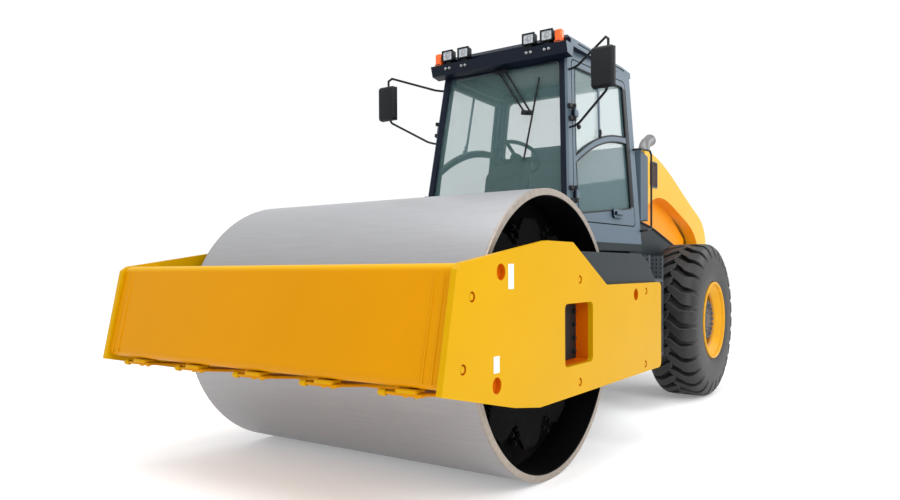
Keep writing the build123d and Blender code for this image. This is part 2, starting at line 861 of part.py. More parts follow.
# Planes in the cab's left side, front and rear, with the sketch's x along it and y up it
front_lean = (cab_front_top - cab_front_bottom) / (cab_top - cab_bottom)
rear_lean = (cab_rear_top - cab_rear_bottom) / (cab_top - cab_bottom)
side_plane = Plane(
    origin=(behind(cab_front_bottom), cab_half_front, cab_bottom),
    x_dir=(-1, cab_side_taper, 0),
    z_dir=(cab_side_taper, 1, cab_side_lean),
)
front_plane = Plane(
    origin=(behind(cab_front_bottom), 0, cab_bottom), x_dir=(0, 1, 0), z_dir=(1, 0, front_lean)
)
rear_plane = Plane(
    origin=(behind(cab_rear_bottom), 0, cab_bottom), x_dir=(0, -1, 0), z_dir=(-1, 0, -rear_lean)
)

door_front = 70
door_rear = 105
door_low = 1500
door_high = 2715
door_gap = 8
door_frame_front = 42
door_frame_rear = 55
door_wall = 36
windshield_low = 1480
windshield_high = 2690
windshield_side = 58
rear_window_low = 2180
rear_window_high = 2700


def front_at(height):
    """Distance of the cab's front skin behind the drum axle at a height."""
    return cab_front_bottom + front_lean * (height - cab_bottom)


def rear_at(height):
    """Distance of the cab's rear skin behind the drum axle at a height."""
    return cab_rear_bottom + rear_lean * (height - cab_bottom)


def on_side(distance, height):
    """Sketch coordinates in the side plane of a place on the cab's left skin."""
    point = side_plane.to_local_coords(Vector(behind(distance), cab_half(distance, height), height))
    return (point.X, point.Y)


def side_outline(front_inset, rear_inset, low, high):
    """Corners of a panel in the cab's side, kept clear of its front and rear edges."""
    return [
        on_side(front_at(low) + front_inset, low),
        on_side(rear_at(low) - rear_inset, low),
        on_side(rear_at(high) - rear_inset, high),
        on_side(front_at(high) + front_inset, high),
    ]


def front_outline(inset, low, high):
    """Corners of a panel in the cab's front, kept clear of its side edges."""
    corners = []
    for side, height in ((1, low), (-1, low), (-1, high), (1, high)):
        point = front_plane.to_local_coords(Vector(behind(front_at(height)), 0, height))
        corners.append((side * (cab_half(front_at(height), height) - inset), point.Y))
    return corners


def rear_outline(inset, low, high):
    """Corners of a panel in the cab's rear wall, kept clear of its side edges."""
    corners = []
    for side, height in ((1, low), (-1, low), (-1, high), (1, high)):
        point = rear_plane.to_local_coords(Vector(behind(rear_at(height)), 0, height))
        corners.append((side * (cab_half(rear_at(height), height) - inset), point.Y))
    return corners


def panel_on(plane, corners, radius):
    """Flat outline with rounded corners on a plane."""
    with BuildSketch(plane) as outline:
        with BuildLine():
            Polyline(*corners, close=True)
        make_face()
        fillet(outline.vertices(), radius)
    return outline.sketch


door_opening = side_outline(door_front, door_rear, door_low, door_high)
windshield_opening = front_outline(windshield_side, windshield_low, windshield_high)
rear_opening = rear_outline(70, rear_window_low, rear_window_high)
hinge_out = 24
hinge_ahead = 12
hinge_levels = (1690, 2295)
knuckle_radius = 14
strap_start = 10
strap_length = 48

# Hinge line along the cab's leaning front pillar, outside the door's skin
hinge_low = side_plane.from_local_coords(
    Vector(*on_side(front_at(door_low) + door_front + door_gap - hinge_ahead, door_low), hinge_out)
)
hinge_high = side_plane.from_local_coords(
    Vector(*on_side(front_at(door_high) + door_front + door_gap - hinge_ahead, door_high), hinge_out)
)
hinge_dir = (hinge_high - hinge_low).normalized()


def hinge_point(height):
    """Place on the left door's hinge line at a height."""
    return hinge_low + (hinge_high - hinge_low) * ((height - door_low) / (door_high - door_low))


with BuildPart() as cab_frame:
    loft(sections=[
        cab_ring(cab_bottom, cab_front_bottom, cab_rear_bottom, 0),
        cab_ring(cab_top, cab_front_top, cab_rear_top, 0),
    ])
    loft(sections=[
        cab_ring(cab_bottom, cab_front_bottom, cab_rear_bottom, cab_wall),
        cab_ring(cab_top, cab_front_top, cab_rear_top, cab_wall),
    ], mode=Mode.SUBTRACT)
    pillar_edges = cab_frame.edges().filter_by(
        lambda edge: abs(edge.tangent_at(0).Z) > 0.8 and abs(edge.center().Y) > cab_half_front - 80
    )
    chamfer(pillar_edges, 14)
    door_hole = panel_on(side_plane.offset(60), door_opening, 45)
    extrude(door_hole, amount=-160, mode=Mode.SUBTRACT)
    extrude(mirror(door_hole, about=Plane.XZ, mode=Mode.PRIVATE), amount=-160, dir=None, mode=Mode.SUBTRACT)
    extrude(panel_on(front_plane.offset(60), windshield_opening, 40), amount=-160, mode=Mode.SUBTRACT)
    extrude(panel_on(rear_plane.offset(60), rear_opening, 40), amount=-160, mode=Mode.SUBTRACT)
cab_frame.part.label = "cab_frame"

# Glass of the cab's front and rear, set in the middle of the wall
with BuildPart() as windshield:
    extrude(panel_on(front_plane.offset(-20), windshield_opening, 40), amount=-glass_wall)
windshield.part.label = "windshield"

with BuildPart() as rear_glass:
    extrude(panel_on(rear_plane.offset(-20), rear_opening, 40), amount=-glass_wall)
rear_glass.part.label = "rear_glass"

# Door: frame with an arched rail, lower and upper panes, hinges and handle
door_outline = side_outline(
    door_front + door_gap, door_rear + door_gap, door_low + door_gap, door_high - door_gap
)
arch_front = 1935
arch_middle = 2110
arch_rear = 2185
arch_rail = 48


def door_panes():
    """Lower and upper openings of the door, either side of its arched rail."""
    low_front = front_at(1560) + door_front + door_gap + door_frame_front
    rear_edge = door_rear + door_gap + door_frame_rear
    with BuildSketch(side_plane) as panes:
        with BuildLine():
            a = on_side(front_at(arch_front) + door_front + door_gap + door_frame_front, arch_front)
            b = on_side(1650, arch_middle)
            c = on_side(rear_at(arch_rear) - rear_edge, arch_rear)
            ThreePointArc(a, b, c)
            Polyline(c, on_side(rear_at(1650) - rear_edge, 1650), on_side(low_front + 20, 1560), a)
        make_face()
        with BuildLine():
            d = on_side(
                front_at(arch_front + arch_rail) + door_front + door_gap + door_frame_front,
                arch_front + arch_rail,
            )
            e = on_side(1650, arch_middle + arch_rail)
            f = on_side(rear_at(arch_rear + arch_rail) - rear_edge, arch_rear + arch_rail)
            ThreePointArc(d, e, f)
            Polyline(
                f,
                on_side(rear_at(2660) - rear_edge, 2660),
                on_side(front_at(2660) + door_front + door_gap + door_frame_front, 2660),
                d,
            )
        make_face()
    return panes.sketch


with BuildPart() as door_left:
    extrude(panel_on(side_plane, door_outline, 40), amount=-door_wall)
    extrude(door_panes(), amount=-door_wall - 2, mode=Mode.SUBTRACT)
    for level in hinge_levels:
        knuckle = Plane(origin=hinge_point(level), x_dir=(1, 0, 0), z_dir=hinge_dir)
        with BuildSketch(knuckle.offset(-30)):
            RegularPolygon(knuckle_radius, 10)
        extrude(amount=60)
        inner = side_plane.to_local_coords(hinge_point(level))
        with BuildSketch(side_plane):
            with Locations((inner.X + strap_start + strap_length / 2, inner.Y)):
                Rectangle(strap_length, 50)
        extrude(amount=hinge_out)
        with BuildSketch(knuckle.offset(-32)):
            Circle(6 + running_gap)
        extrude(amount=64, mode=Mode.SUBTRACT)
    handle_place = on_side(1840, 1590)
    with BuildSketch(side_plane):
        with Locations(handle_place):
            Rectangle(150, 70)
        chamfer(vertices(), 12)
    extrude(amount=20)
    with BuildSketch(side_plane.offset(20)):
        with Locations(handle_place):
            Rectangle(120, 24)
    extrude(amount=22)
door_left.part.label = "door_left"

with BuildPart() as door_left_glass:
    extrude(door_panes(), amount=-glass_wall)
door_left_glass.part = door_left_glass.part.moved(Location(side_plane.z_dir * -14))
door_left_glass.part.label = "door_left_glass"

with BuildPart() as door_right:
    mirror(door_left.part, about=Plane.XZ)
door_right.part.label = "door_right"

with BuildPart() as door_right_glass:
    mirror(door_left_glass.part, about=Plane.XZ)
door_right_glass.part.label = "door_right_glass"

# Door hinge brackets and pins on the pillars
with BuildPart() as door_hinges:
    for level in hinge_levels:
        knuckle = Plane(origin=hinge_point(level), x_dir=(1, 0, 0), z_dir=hinge_dir)
        with BuildSketch(knuckle.offset(-61)):
            Circle(6)
        extrude(amount=122)
        inner = side_plane.to_local_coords(hinge_point(level))
        for shift in (-1, 1):
            with BuildSketch(knuckle.offset(shift * 46 - 15)):
                RegularPolygon(knuckle_radius, 10)
            extrude(amount=30)
            with BuildSketch(side_plane):
                with Locations((inner.X - 28, inner.Y + shift * 46)):
                    Rectangle(56, 28)
            extrude(amount=hinge_out)
    mirror(about=Plane.XZ)
door_hinges.part.label = "door_hinges"

# Roof with the lamp visor, and lifting eyes
visor_shelf = 2792
with BuildPart() as cab_roof:
    with BuildSketch(xz(600)):
        with BuildLine():
            Polyline(
                (behind(front_at(2700)), 2700),
                (behind(1172), 2714),
                (behind(1148), visor_shelf),
                (behind(1228), visor_shelf),
                (behind(1228), 2838),
                (behind(1262), cab_top + roof_thickness),
                (behind(2330), cab_top + roof_thickness),
                (behind(2385), cab_top + 50),
                (behind(2395), cab_top),
                (behind(front_at(cab_top)), cab_top),
                close=True,
            )
        make_face()
    extrude(amount=1200)
    roof_edges = cab_roof.edges().filter_by(Axis.X).group_by(Axis.Z)[-1]
    chamfer(roof_edges, 45)
    for side in (1, -1):
        with Locations((behind(1800), side * 600, cab_top + 34)):
            Box(900, 16, 12, mode=Mode.SUBTRACT)
    with GridLocations(0, 2 * 470, 1, 2):
        with Locations((behind(2300), 0, cab_top + roof_thickness + 22)):
            Box(70, 16, 50)
            with Locations((0, 0, 8)):
                Cylinder(12, 30, rotation=(90, 0, 0), mode=Mode.SUBTRACT)
cab_roof.part.label = "cab_roof"

# Lamps and indicators on the visor
lamp_places = (440, 290)
with BuildPart() as work_lamps:
    for y in lamp_places:
        for side in (1, -1):
            with Locations((behind(1180), side * y, visor_shelf + 12)):
                Box(30, 40, 24)
            with Locations((behind(1180), side * y, visor_shelf + 24 + 42)):
                Box(64, 105, 84)
            with Locations((behind(1149), side * y, visor_shelf + 24 + 42)):
                Box(8, 89, 68, mode=Mode.SUBTRACT)
work_lamps.part.label = "work_lamps"

with BuildPart() as turn_signals:
    for side in (1, -1):
        with Locations((behind(1180), side * 532, visor_shelf + 48)):
            Box(60, 60, 96)
turn_signals.part.label = "turn_signals"

# Mirror arms and heads
mirror_bar = (1050, 960)
mirror_bar_radius = 9
mirror_head = (1005, 930, 2560)


def tube(points, radius, bend):
    """Bar along the points, with each corner cut across at the bend's distance."""
    course = [points[0]]
    for before, corner, after in zip(points, points[1:], points[2:]):
        course.append(corner + (before - corner).normalized() * bend)
        course.append(corner + (after - corner).normalized() * bend)
    course.append(points[-1])
    with BuildPart() as bar:
        with BuildLine() as path:
            Polyline(*course)
        with BuildSketch(Plane(origin=path.line @ 0, z_dir=path.line % 0)):
            RegularPolygon(radius, 6)
        sweep(transition=Transition.RIGHT)
    return bar.part


def side_foot(distance, height):
    """Place on the cab's left skin at a distance behind the drum axle and a height."""
    return side_plane.from_local_coords(Vector(*on_side(distance, height), 0))


def mirror_tube():
    """Left mirror's bent bar, between its two feet on the front pillar."""
    upper_foot = side_foot(front_at(2620) + 35, 2620)
    lower_foot = side_foot(front_at(2185) + 35, 2185)
    return tube([
        upper_foot,
        upper_foot + side_plane.z_dir * 60,
        Vector(behind(mirror_bar[0]), mirror_bar[1], 2740),
        Vector(behind(mirror_bar[0]), mirror_bar[1], 2380),
        lower_foot + side_plane.z_dir * 60,
        lower_foot,
    ], mirror_bar_radius, 30)


with BuildPart() as mirror_arms:
    add(mirror_tube())
    mirror(about=Plane.XZ)
mirror_arms.part.label = "mirror_arms"

with BuildPart() as mirror_heads:
    with Locations((behind(mirror_head[0]), mirror_head[1], mirror_head[2])):
        Box(60, 170, 280)
    fillet(mirror_heads.edges().filter_by(Axis.X), 25)
    with Locations((behind(mirror_bar[0]), mirror_bar[1], mirror_head[2])):
        Box(40, 40, 60)
    add(mirror_tube(), mode=Mode.SUBTRACT)
    mirror(about=Plane.XZ)
mirror_heads.part.label = "mirror_heads"

# Hand rails that loop back from the cab's rear corners
rail_loop_x = 2500
rail_loop_y = 745
with BuildPart() as grab_rails:
    add(tube([
        side_foot(2262, 2150),
        side_foot(2262, 2150) + side_plane.z_dir * 55,
        Vector(behind(rail_loop_x), rail_loop_y, 2165),
        Vector(behind(rail_loop_x), rail_loop_y, 1500),
        side_foot(2262, 1470) + side_plane.z_dir * 55,
        side_foot(2262, 1470),
    ], mirror_bar_radius, 30))
    mirror(about=Plane.XZ)
grab_rails.part.label = "grab_rails"

# Boxes behind the doors, standing on the side tanks
box_gap = 15
box_length = 175
box_front = cab_rear_top + box_gap
box_rear = box_front + box_length
box_feet = [(box_front, tank_top(box_front)), (box_rear, tank_top(box_rear))]
if box_front < tank_crest[0] < box_rear:
    box_feet.insert(1, tank_crest)
with BuildPart() as corner_boxes:
    with BuildSketch(xz(705)):
        with BuildLine():
            Polyline(
                *[(behind(place), height) for place, height in box_feet],
                (behind(box_rear), 2120),
                (behind(box_front), 2160),
                close=True,
            )
        make_face()
    extrude(amount=110)
    mirror(about=Plane.XZ)
corner_boxes.part.label = "corner_boxes"

# Wiper, seat and controls
with BuildPart() as wiper:
    with BuildSketch(front_plane.offset(-20)):
        with Locations((0, 1270)):
            Circle(35)
        with Locations((30, 990)):
            Rectangle(16, 580, rotation=6)
        with Locations((58, 700)):
            Rectangle(14, 500)
    extrude(amount=14)
wiper.part.label = "wiper"

with BuildPart() as seat_base:
    with Locations((behind(1900), 0, cab_bottom + 130)):
        Box(380, 360, 260)
    with Locations((behind(1900), 0, cab_bottom + 275)):
        Box(440, 440, 30)
seat_base.part.label = "seat_base"

with BuildPart() as seat:
    with BuildSketch(xz(240)):
        with BuildLine():
            Polyline(
                (behind(1650), cab_bottom + 290),
                (behind(2120), cab_bottom + 290),
                (behind(2200), cab_bottom + 900),
                (behind(2080), cab_bottom + 900),
                (behind(2010), cab_bottom + 410),
                (behind(1650), cab_bottom + 400),
                close=True,
            )
        make_face()
        chamfer(vertices(), 25)
    extrude(amount=480)
    chamfer(seat.faces().sort_by(Axis.Y)[0].edges() + seat.faces().sort_by(Axis.Y)[-1].edges(), 18)
seat.part.label = "seat"

wheel_tilt = radians(33)
steer_ring = 190
column_length = 90
wheel_hub = (behind(1480), cab_bottom + 690)
column_foot = (
    wheel_hub[0] + (column_length + 8) * sin(wheel_tilt),
    wheel_hub[1] - (column_length + 8) * cos(wheel_tilt),
)

with BuildPart() as console:
    with BuildSketch(xz(150)):
        with BuildLine():
            Polyline(
                (behind(1160), cab_bottom),
                (behind(1420), cab_bottom),
                (behind(1380), cab_bottom + 440),
                (column_foot[0] - 45 * cos(wheel_tilt), column_foot[1] - 45 * sin(wheel_tilt)),
                (column_foot[0] + 45 * cos(wheel_tilt), column_foot[1] + 45 * sin(wheel_tilt)),
                (behind(1260), cab_bottom + 520),
                close=True,
            )
        make_face()
    extrude(amount=300)
console.part.label = "console"

wheel_centre = Plane(
    origin=(wheel_hub[0], 0, wheel_hub[1]), x_dir=(0, 1, 0), z_dir=(-sin(wheel_tilt), 0, cos(wheel_tilt))
)
with BuildPart() as steering_wheel:
    with BuildSketch(Plane.XY.offset(-13)):
        RegularPolygon(steer_ring + 15, 20)
        RegularPolygon(steer_ring - 15, 20, mode=Mode.SUBTRACT)
    extrude(amount=26)
    with BuildSketch(Plane.XY.offset(-8)):
        Rectangle(2 * steer_ring - 10, 34)
        Rectangle(34, 2 * steer_ring - 10)
        Circle(50)
    extrude(amount=16)
    with BuildSketch(Plane.XY.offset(-8)):
        Circle(28)
    extrude(amount=-column_length)
steering_wheel.part = steering_wheel.part.moved(wheel_centre.location)
steering_wheel.part.label = "steering_wheel"

# Steps on both sides
step_levels = (450, 760, 1060)
with BuildPart() as steps:
    for level in step_levels:
        with Locations((behind(2180), 770, level)):
            Box(300, 260, 30)
    for place in (2022, 2338):
        with Locations((behind(place), 770, 850)):
            Box(16, 260, 830)
    with Locations((behind(2180), 640, 1150), (behind(2180), 640, 880)):
        Box(300, 20, 90)
    with Locations((behind(2180), (rail_y + rail_wall / 2 + 640) / 2, 1150)):
        Box(80, 640 - rail_y - rail_wall / 2, 80)
    mirror(about=Plane.XZ)
steps.part.label = "steps"

with BuildPart() as tail_lamps:
    for side in (1, -1):
        with Locations((behind(rear_reach) + tail_lamp_depth / 2, side * 480, 1010)):
            Box(tail_lamp_depth, 120, 80)
tail_lamps.part.label = "tail_lamps"

nodes = {
    "drum_shell": drum_shell, "drum_heads": drum_heads, "exciter_housing": exciter_housing,
    "drum_buffers": drum_buffers, "drive_discs": drive_discs,
    "side_plate_left": side_plate_left, "side_plate_right": side_plate_right,
    "front_beam": front_beam, "scraper": scraper, "drum_carriers": drum_carriers,
    "carrier_plates": carrier_plates, "grab_rails": grab_rails,
    "rear_yoke": rear_yoke, "hitch": hitch, "chassis": chassis, "steering_pin": steering_pin,
    "steer_barrel_left": steer_barrel_left, "steer_barrel_right": steer_barrel_right,
    "steer_rod_left": steer_rod_left, "steer_rod_right": steer_rod_right,
    "rear_axle": rear_axle, "tyre_left": tyre_left, "tyre_right": tyre_right,
    "rim_left": rim_left, "rim_right": rim_right, "engine": engine, "side_tanks": side_tanks,
    "rear_bumper": rear_bumper, "hood": hood, "hood_grilles": hood_grilles, "exhaust": exhaust,
    "cab_floor": cab_floor, "cab_frame": cab_frame, "windshield": windshield,
    "rear_glass": rear_glass, "door_left": door_left, "door_left_glass": door_left_glass,
    "door_right": door_right, "door_right_glass": door_right_glass, "door_hinges": door_hinges,
    "cab_roof": cab_roof, "work_lamps": work_lamps, "turn_signals": turn_signals,
    "mirror_arms": mirror_arms, "mirror_heads": mirror_heads, "corner_boxes": corner_boxes,
    "wiper": wiper, "seat_base": seat_base, "seat": seat, "console": console,
    "steering_wheel": steering_wheel, "steps": steps, "tail_lamps": tail_lamps,
}

for name, built in nodes.items():
    export_step(built.part, f"parts/{name}.step")
    print(name, round(built.part.volume / 1e6, 3), built.part.is_valid, len(built.part.solids()))

print("hinge line", hinge_point(door_low), hinge_dir)
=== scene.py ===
import math

import bmesh
import bpy
from mathutils import Matrix, Vector


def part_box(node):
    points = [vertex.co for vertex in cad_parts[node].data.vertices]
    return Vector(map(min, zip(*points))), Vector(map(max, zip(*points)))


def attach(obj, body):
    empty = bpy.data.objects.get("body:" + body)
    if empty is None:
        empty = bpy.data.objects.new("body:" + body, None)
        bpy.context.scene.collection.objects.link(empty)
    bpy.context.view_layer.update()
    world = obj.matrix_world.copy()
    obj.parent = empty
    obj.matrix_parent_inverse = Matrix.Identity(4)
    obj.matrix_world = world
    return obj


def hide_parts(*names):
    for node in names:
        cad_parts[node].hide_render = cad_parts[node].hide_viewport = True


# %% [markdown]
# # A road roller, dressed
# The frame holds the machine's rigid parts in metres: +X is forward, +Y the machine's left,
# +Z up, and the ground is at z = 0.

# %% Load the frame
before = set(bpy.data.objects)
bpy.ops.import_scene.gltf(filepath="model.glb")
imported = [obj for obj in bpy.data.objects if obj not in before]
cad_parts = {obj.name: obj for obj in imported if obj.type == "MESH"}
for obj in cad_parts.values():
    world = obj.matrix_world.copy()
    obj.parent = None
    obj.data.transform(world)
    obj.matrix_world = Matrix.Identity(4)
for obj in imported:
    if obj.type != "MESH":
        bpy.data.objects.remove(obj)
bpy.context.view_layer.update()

# %% [markdown]
# ## Places along the machine
# The drum's axle stands `DRUM_X` ahead of the middle, and most places were read from the
# photograph as distances behind it.

# %% Named places
DRUM_X = sum(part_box("drum_shell")[i][0] for i in (0, 1)) / 2
WHEEL_X = sum(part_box("tyre_left")[i][0] for i in (0, 1)) / 2
DRUM_RADIUS = 0.8
TYRE_RADIUS = 0.69
TYRE_MIDDLE = 0.887
PLATE_Y = 1.22
FORWARD = Vector((1, 0, 0))
LEFT = Vector((0, 1, 0))
UP = Vector((0, 0, 1))
DOWN = Vector((0, 0, -1))
SIDES = ((1, "left"), (-1, "right"))


def at(back, side, height):
    """Point given by its distance behind the drum axle, its side and its height, in metres."""
    return Vector((DRUM_X - back, side, height))


print("drum axle at", round(DRUM_X, 4), "wheel axle at", round(WHEEL_X, 4))

# %% [markdown]
# ## The camera
# It stands where the photographer stood: the pose was fitted to the drum's rims, the side
# plate and the wheel. The lens shift stands for the photograph's crop.

# %% Camera
CAMERA_PLACE = Vector((DRUM_X + 3.589, 2.890, 1.157))
YAW = math.radians(-145.657)
PITCH = math.radians(-0.845)
ROLL = math.radians(-0.313)
LENS = 29.03
forward = Vector((
    math.cos(PITCH) * math.cos(YAW), math.cos(PITCH) * math.sin(YAW), math.sin(PITCH)
))
level_right = forward.cross(Vector((0, 0, 1))).normalized()
level_up = level_right.cross(forward)
right = level_right * math.cos(ROLL) + level_up * math.sin(ROLL)
up = right.cross(forward)
camera_data = bpy.data.cameras.new("camera")
camera = bpy.data.objects.new("camera", camera_data)
bpy.context.scene.collection.objects.link(camera)
camera.matrix_world = Matrix((
    (right.x, up.x, -forward.x, CAMERA_PLACE.x),
    (right.y, up.y, -forward.y, CAMERA_PLACE.y),
    (right.z, up.z, -forward.z, CAMERA_PLACE.z),
    (0, 0, 0, 1),
))
camera_data.lens = LENS
camera_data.sensor_width = 36
camera_data.shift_x = -0.0087
camera_data.shift_y = 0.0338
bpy.context.scene.camera = camera
print("camera at", [round(v, 3) for v in CAMERA_PLACE])

# %% [markdown]
# ## Light and ground
# The photograph is a cut-out on white, lit softly from the front and above. A pale floor and a
# bright world give that look, and three large soft lamps shape the machine.

# %% Light and floor
scene = bpy.context.scene
scene.view_settings.view_transform = "Standard"
world = bpy.data.worlds.new("world")
scene.world = world
world.use_nodes = True
world.node_tree.nodes["Background"].inputs["Color"].default_value = (0.98, 0.99, 1.0, 1)
world.node_tree.nodes["Background"].inputs["Strength"].default_value = 1.03


def area_light(name, place, target, size, power, colour=(1, 1, 1)):
    """Adds one soft square lamp that looks at a point."""
    data = bpy.data.lights.new(name, "AREA")
    data.energy = power
    data.size = size
    data.color = colour
    lamp = bpy.data.objects.new(name, data)
    scene.collection.objects.link(lamp)
    lamp.location = place
    aim = Vector(target) - Vector(place)
    lamp.rotation_euler = aim.to_track_quat("-Z", "Y").to_euler()


area_light("key", (4.0, 7.5, 6.5), (0.5, 0, 1.0), 4.5, 330, (1.0, 0.98, 0.95))
area_light("top", (2.0, 0.5, 7.5), (1.5, 0, 1.0), 5.0, 260, (0.96, 0.98, 1.0))
area_light("rim", (-6.0, 4.5, 5.0), (-1.0, 0, 1.2), 3.5, 120)

bpy.ops.mesh.primitive_plane_add(size=60, location=(0, 0, 0))
floor = bpy.context.object
floor.name = "floor"
floor_material = bpy.data.materials.new("pale floor")
floor_material.use_nodes = True
floor_shader = floor_material.node_tree.nodes["Principled BSDF"]
floor_shader.inputs["Base Color"].default_value = (0.86, 0.86, 0.87, 1)
floor_shader.inputs["Roughness"].default_value = 0.9
floor_shader.inputs["Emission Color"].default_value = (1, 1, 1, 1)
floor_shader.inputs["Emission Strength"].default_value = 0.22
floor.data.materials.append(floor_material)

# %% [markdown]
# ## Shared effects
# Paint on a working machine is never flat: it has a fine grain, its edges are rubbed, and dust
# lies on what faces up and near the ground. Each effect is a node group that all paints share.

# %% Node group helpers


def new_group(name, inputs, outputs):
    """Makes a shader node group with float and colour sockets and returns it with its ends."""
    group = bpy.data.node_groups.new(name, "ShaderNodeTree")
    for label, kind, value in inputs:
        socket = group.interface.new_socket(label, in_out="INPUT", socket_type=kind)
        socket.default_value = value
    for label, kind in outputs:
        group.interface.new_socket(label, in_out="OUTPUT", socket_type=kind)
    return group, group.nodes.new("NodeGroupInput"), group.nodes.new("NodeGroupOutput")


def math_node(tree, operation, first, second=None, clamp=False):
    """Adds a math node fed by sockets or numbers and returns its output."""
    node = tree.nodes.new("ShaderNodeMath")
    node.operation = operation
    node.use_clamp = clamp
    for socket, value in zip(node.inputs, (first, second)):
        if value is None:
            continue
        if isinstance(value, (int, float)):
            socket.default_value = value
        else:
            tree.links.new(value, socket)
    return node.outputs[0]


def noise_node(tree, vector, scale, detail=4.0, roughness=0.55):
    """Adds a noise texture on a vector and returns its factor."""
    node = tree.nodes.new("ShaderNodeTexNoise")
    node.inputs["Scale"].default_value = scale
    node.inputs["Detail"].default_value = detail
    node.inputs["Roughness"].default_value = roughness
    tree.links.new(vector, node.inputs["Vector"])
    return node.outputs[0]


def piece_noise(tree, scale, detail, roughness=0.55):
    """Adds a noise over a piece's Object coordinates."""
    whole = tree.nodes.new("ShaderNodeTexCoord").outputs["Object"]
    return noise_node(tree, whole, scale, detail, roughness)


def mix_colour(tree, factor, first, second):
    """Mixes two colours, given as sockets or tuples, by a factor socket or number."""
    node = tree.nodes.new("ShaderNodeMix")
    node.data_type = "RGBA"
    for index, value in ((0, factor), (6, first), (7, second)):
        if isinstance(value, (int, float)):
            node.inputs[index].default_value = value
        elif isinstance(value, tuple):
            node.inputs[index].default_value = (*value, 1)
        else:
            tree.links.new(value, node.inputs[index])
    return node.outputs[2]


def times(tree, first, second, clamp=False):
    """Product of two sockets or numbers."""
    return math_node(tree, "MULTIPLY", first, second, clamp)


def minus(tree, first, second, clamp=False):
    """Difference of two sockets or numbers."""
    return math_node(tree, "SUBTRACT", first, second, clamp)


def ramp(tree, value, start, slope):
    """Rises or falls by a slope from a start value, and stays between 0 and 1."""
    return times(tree, minus(tree, value, start), slope, clamp=True)


def object_place(tree):
    """A piece's Object coordinates, whole and as its X, Y and Z sockets."""
    whole = tree.nodes.new("ShaderNodeTexCoord").outputs["Object"]
    parts = tree.nodes.new("ShaderNodeSeparateXYZ")
    tree.links.new(whole, parts.inputs[0])
    return whole, parts.outputs


def from_axle(tree, place, x, z):
    """Offsets along and up from an axle that runs across the machine, and the distance."""
    across = minus(tree, place["X"], x)
    height = minus(tree, place["Z"], z)
    square = math_node(tree, "ADD", times(tree, across, across), times(tree, height, height))
    return across, height, math_node(tree, "SQRT", square)


def crossed_waves(tree, place, pitch):
    """Waves along the three axes, crossed in pairs, for a weave or rows of holes."""
    waves = [math_node(tree, "SINE", times(tree, place[n], pitch)) for n in range(3)]
    pairs = times(tree, waves[0], waves[1]), times(tree, waves[1], waves[2])
    return math_node(tree, "ADD", *pairs)


def add_bump(tree, shader, height, strength, distance, invert=False):
    """Links a height to the shader's normal."""
    bump = tree.nodes.new("ShaderNodeBump")
    bump.inputs["Strength"].default_value = strength
    bump.inputs["Distance"].default_value = distance
    bump.invert = invert
    tree.links.new(height, bump.inputs["Height"])
    tree.links.new(bump.outputs[0], shader.inputs["Normal"])


# Edge wear: where a rounded normal differs from the real one, broken up by noise
edge_group, edge_in, edge_out = new_group(
    "edge wear",
    [("Radius", "NodeSocketFloat", 0.008), ("Amount", "NodeSocketFloat", 1.0)],
    [("Mask", "NodeSocketFloat")],
)
bevel = edge_group.nodes.new("ShaderNodeBevel")
bevel.samples = 3
edge_group.links.new(edge_in.outputs["Radius"], bevel.inputs["Radius"])
geometry = edge_group.nodes.new("ShaderNodeNewGeometry")
dot = edge_group.nodes.new("ShaderNodeVectorMath")
dot.operation = "DOT_PRODUCT"
edge_group.links.new(bevel.outputs[0], dot.inputs[0])
edge_group.links.new(geometry.outputs["Normal"], dot.inputs[1])
edge = minus(edge_group, 1.0, dot.outputs["Value"])
patches = piece_noise(edge_group, 16, 6, 0.65)
edge = times(edge_group, edge, times(edge_group, patches, 14))
edge = minus(edge_group, edge, 0.35, clamp=True)
edge = times(edge_group, edge, edge_in.outputs["Amount"], clamp=True)
edge_group.links.new(edge, edge_out.inputs["Mask"])

# Dust: on faces that look up and in a soft band near the ground
dust_group, dust_in, dust_out = new_group(
    "dust",
    [("Amount", "NodeSocketFloat", 0.3), ("Height", "NodeSocketFloat", 0.9)],
    [("Mask", "NodeSocketFloat")],
)
geometry = dust_group.nodes.new("ShaderNodeNewGeometry")
normal_parts = dust_group.nodes.new("ShaderNodeSeparateXYZ")
dust_group.links.new(geometry.outputs["Normal"], normal_parts.inputs[0])
whole, place = object_place(dust_group)
facing_up = times(dust_group, normal_parts.outputs["Z"], 0.7, clamp=True)
low = math_node(dust_group, "DIVIDE", place["Z"], dust_in.outputs["Height"])
low = minus(dust_group, 1.0, low, clamp=True)
clouds = ramp(dust_group, noise_node(dust_group, whole, 5, 8, 0.7), 0.35, 2.4)
dust = times(dust_group, math_node(dust_group, "MAXIMUM", facing_up, low), clouds)
dust = times(dust_group, dust, dust_in.outputs["Amount"], clamp=True)
dust_group.links.new(dust, dust_out.inputs["Mask"])

# Grain: the fine waviness of sprayed paint, as a normal
grain_group, grain_in, grain_out = new_group(
    "paint grain",
    [("Scale", "NodeSocketFloat", 350.0), ("Strength", "NodeSocketFloat", 0.05)],
    [("Normal", "NodeSocketVector")],
)
coordinates = grain_group.nodes.new("ShaderNodeTexCoord")
texture = grain_group.nodes.new("ShaderNodeTexNoise")
texture.inputs["Detail"].default_value = 2
grain_group.links.new(coordinates.outputs["Object"], texture.inputs["Vector"])
grain_group.links.new(grain_in.outputs["Scale"], texture.inputs["Scale"])
bump = grain_group.nodes.new("ShaderNodeBump")
bump.inputs["Distance"].default_value = 0.002
grain_group.links.new(grain_in.outputs["Strength"], bump.inputs["Strength"])
grain_group.links.new(texture.outputs[0], bump.inputs["Height"])
grain_group.links.new(bump.outputs[0], grain_out.inputs["Normal"])
print("groups", [g.name for g in bpy.data.node_groups])
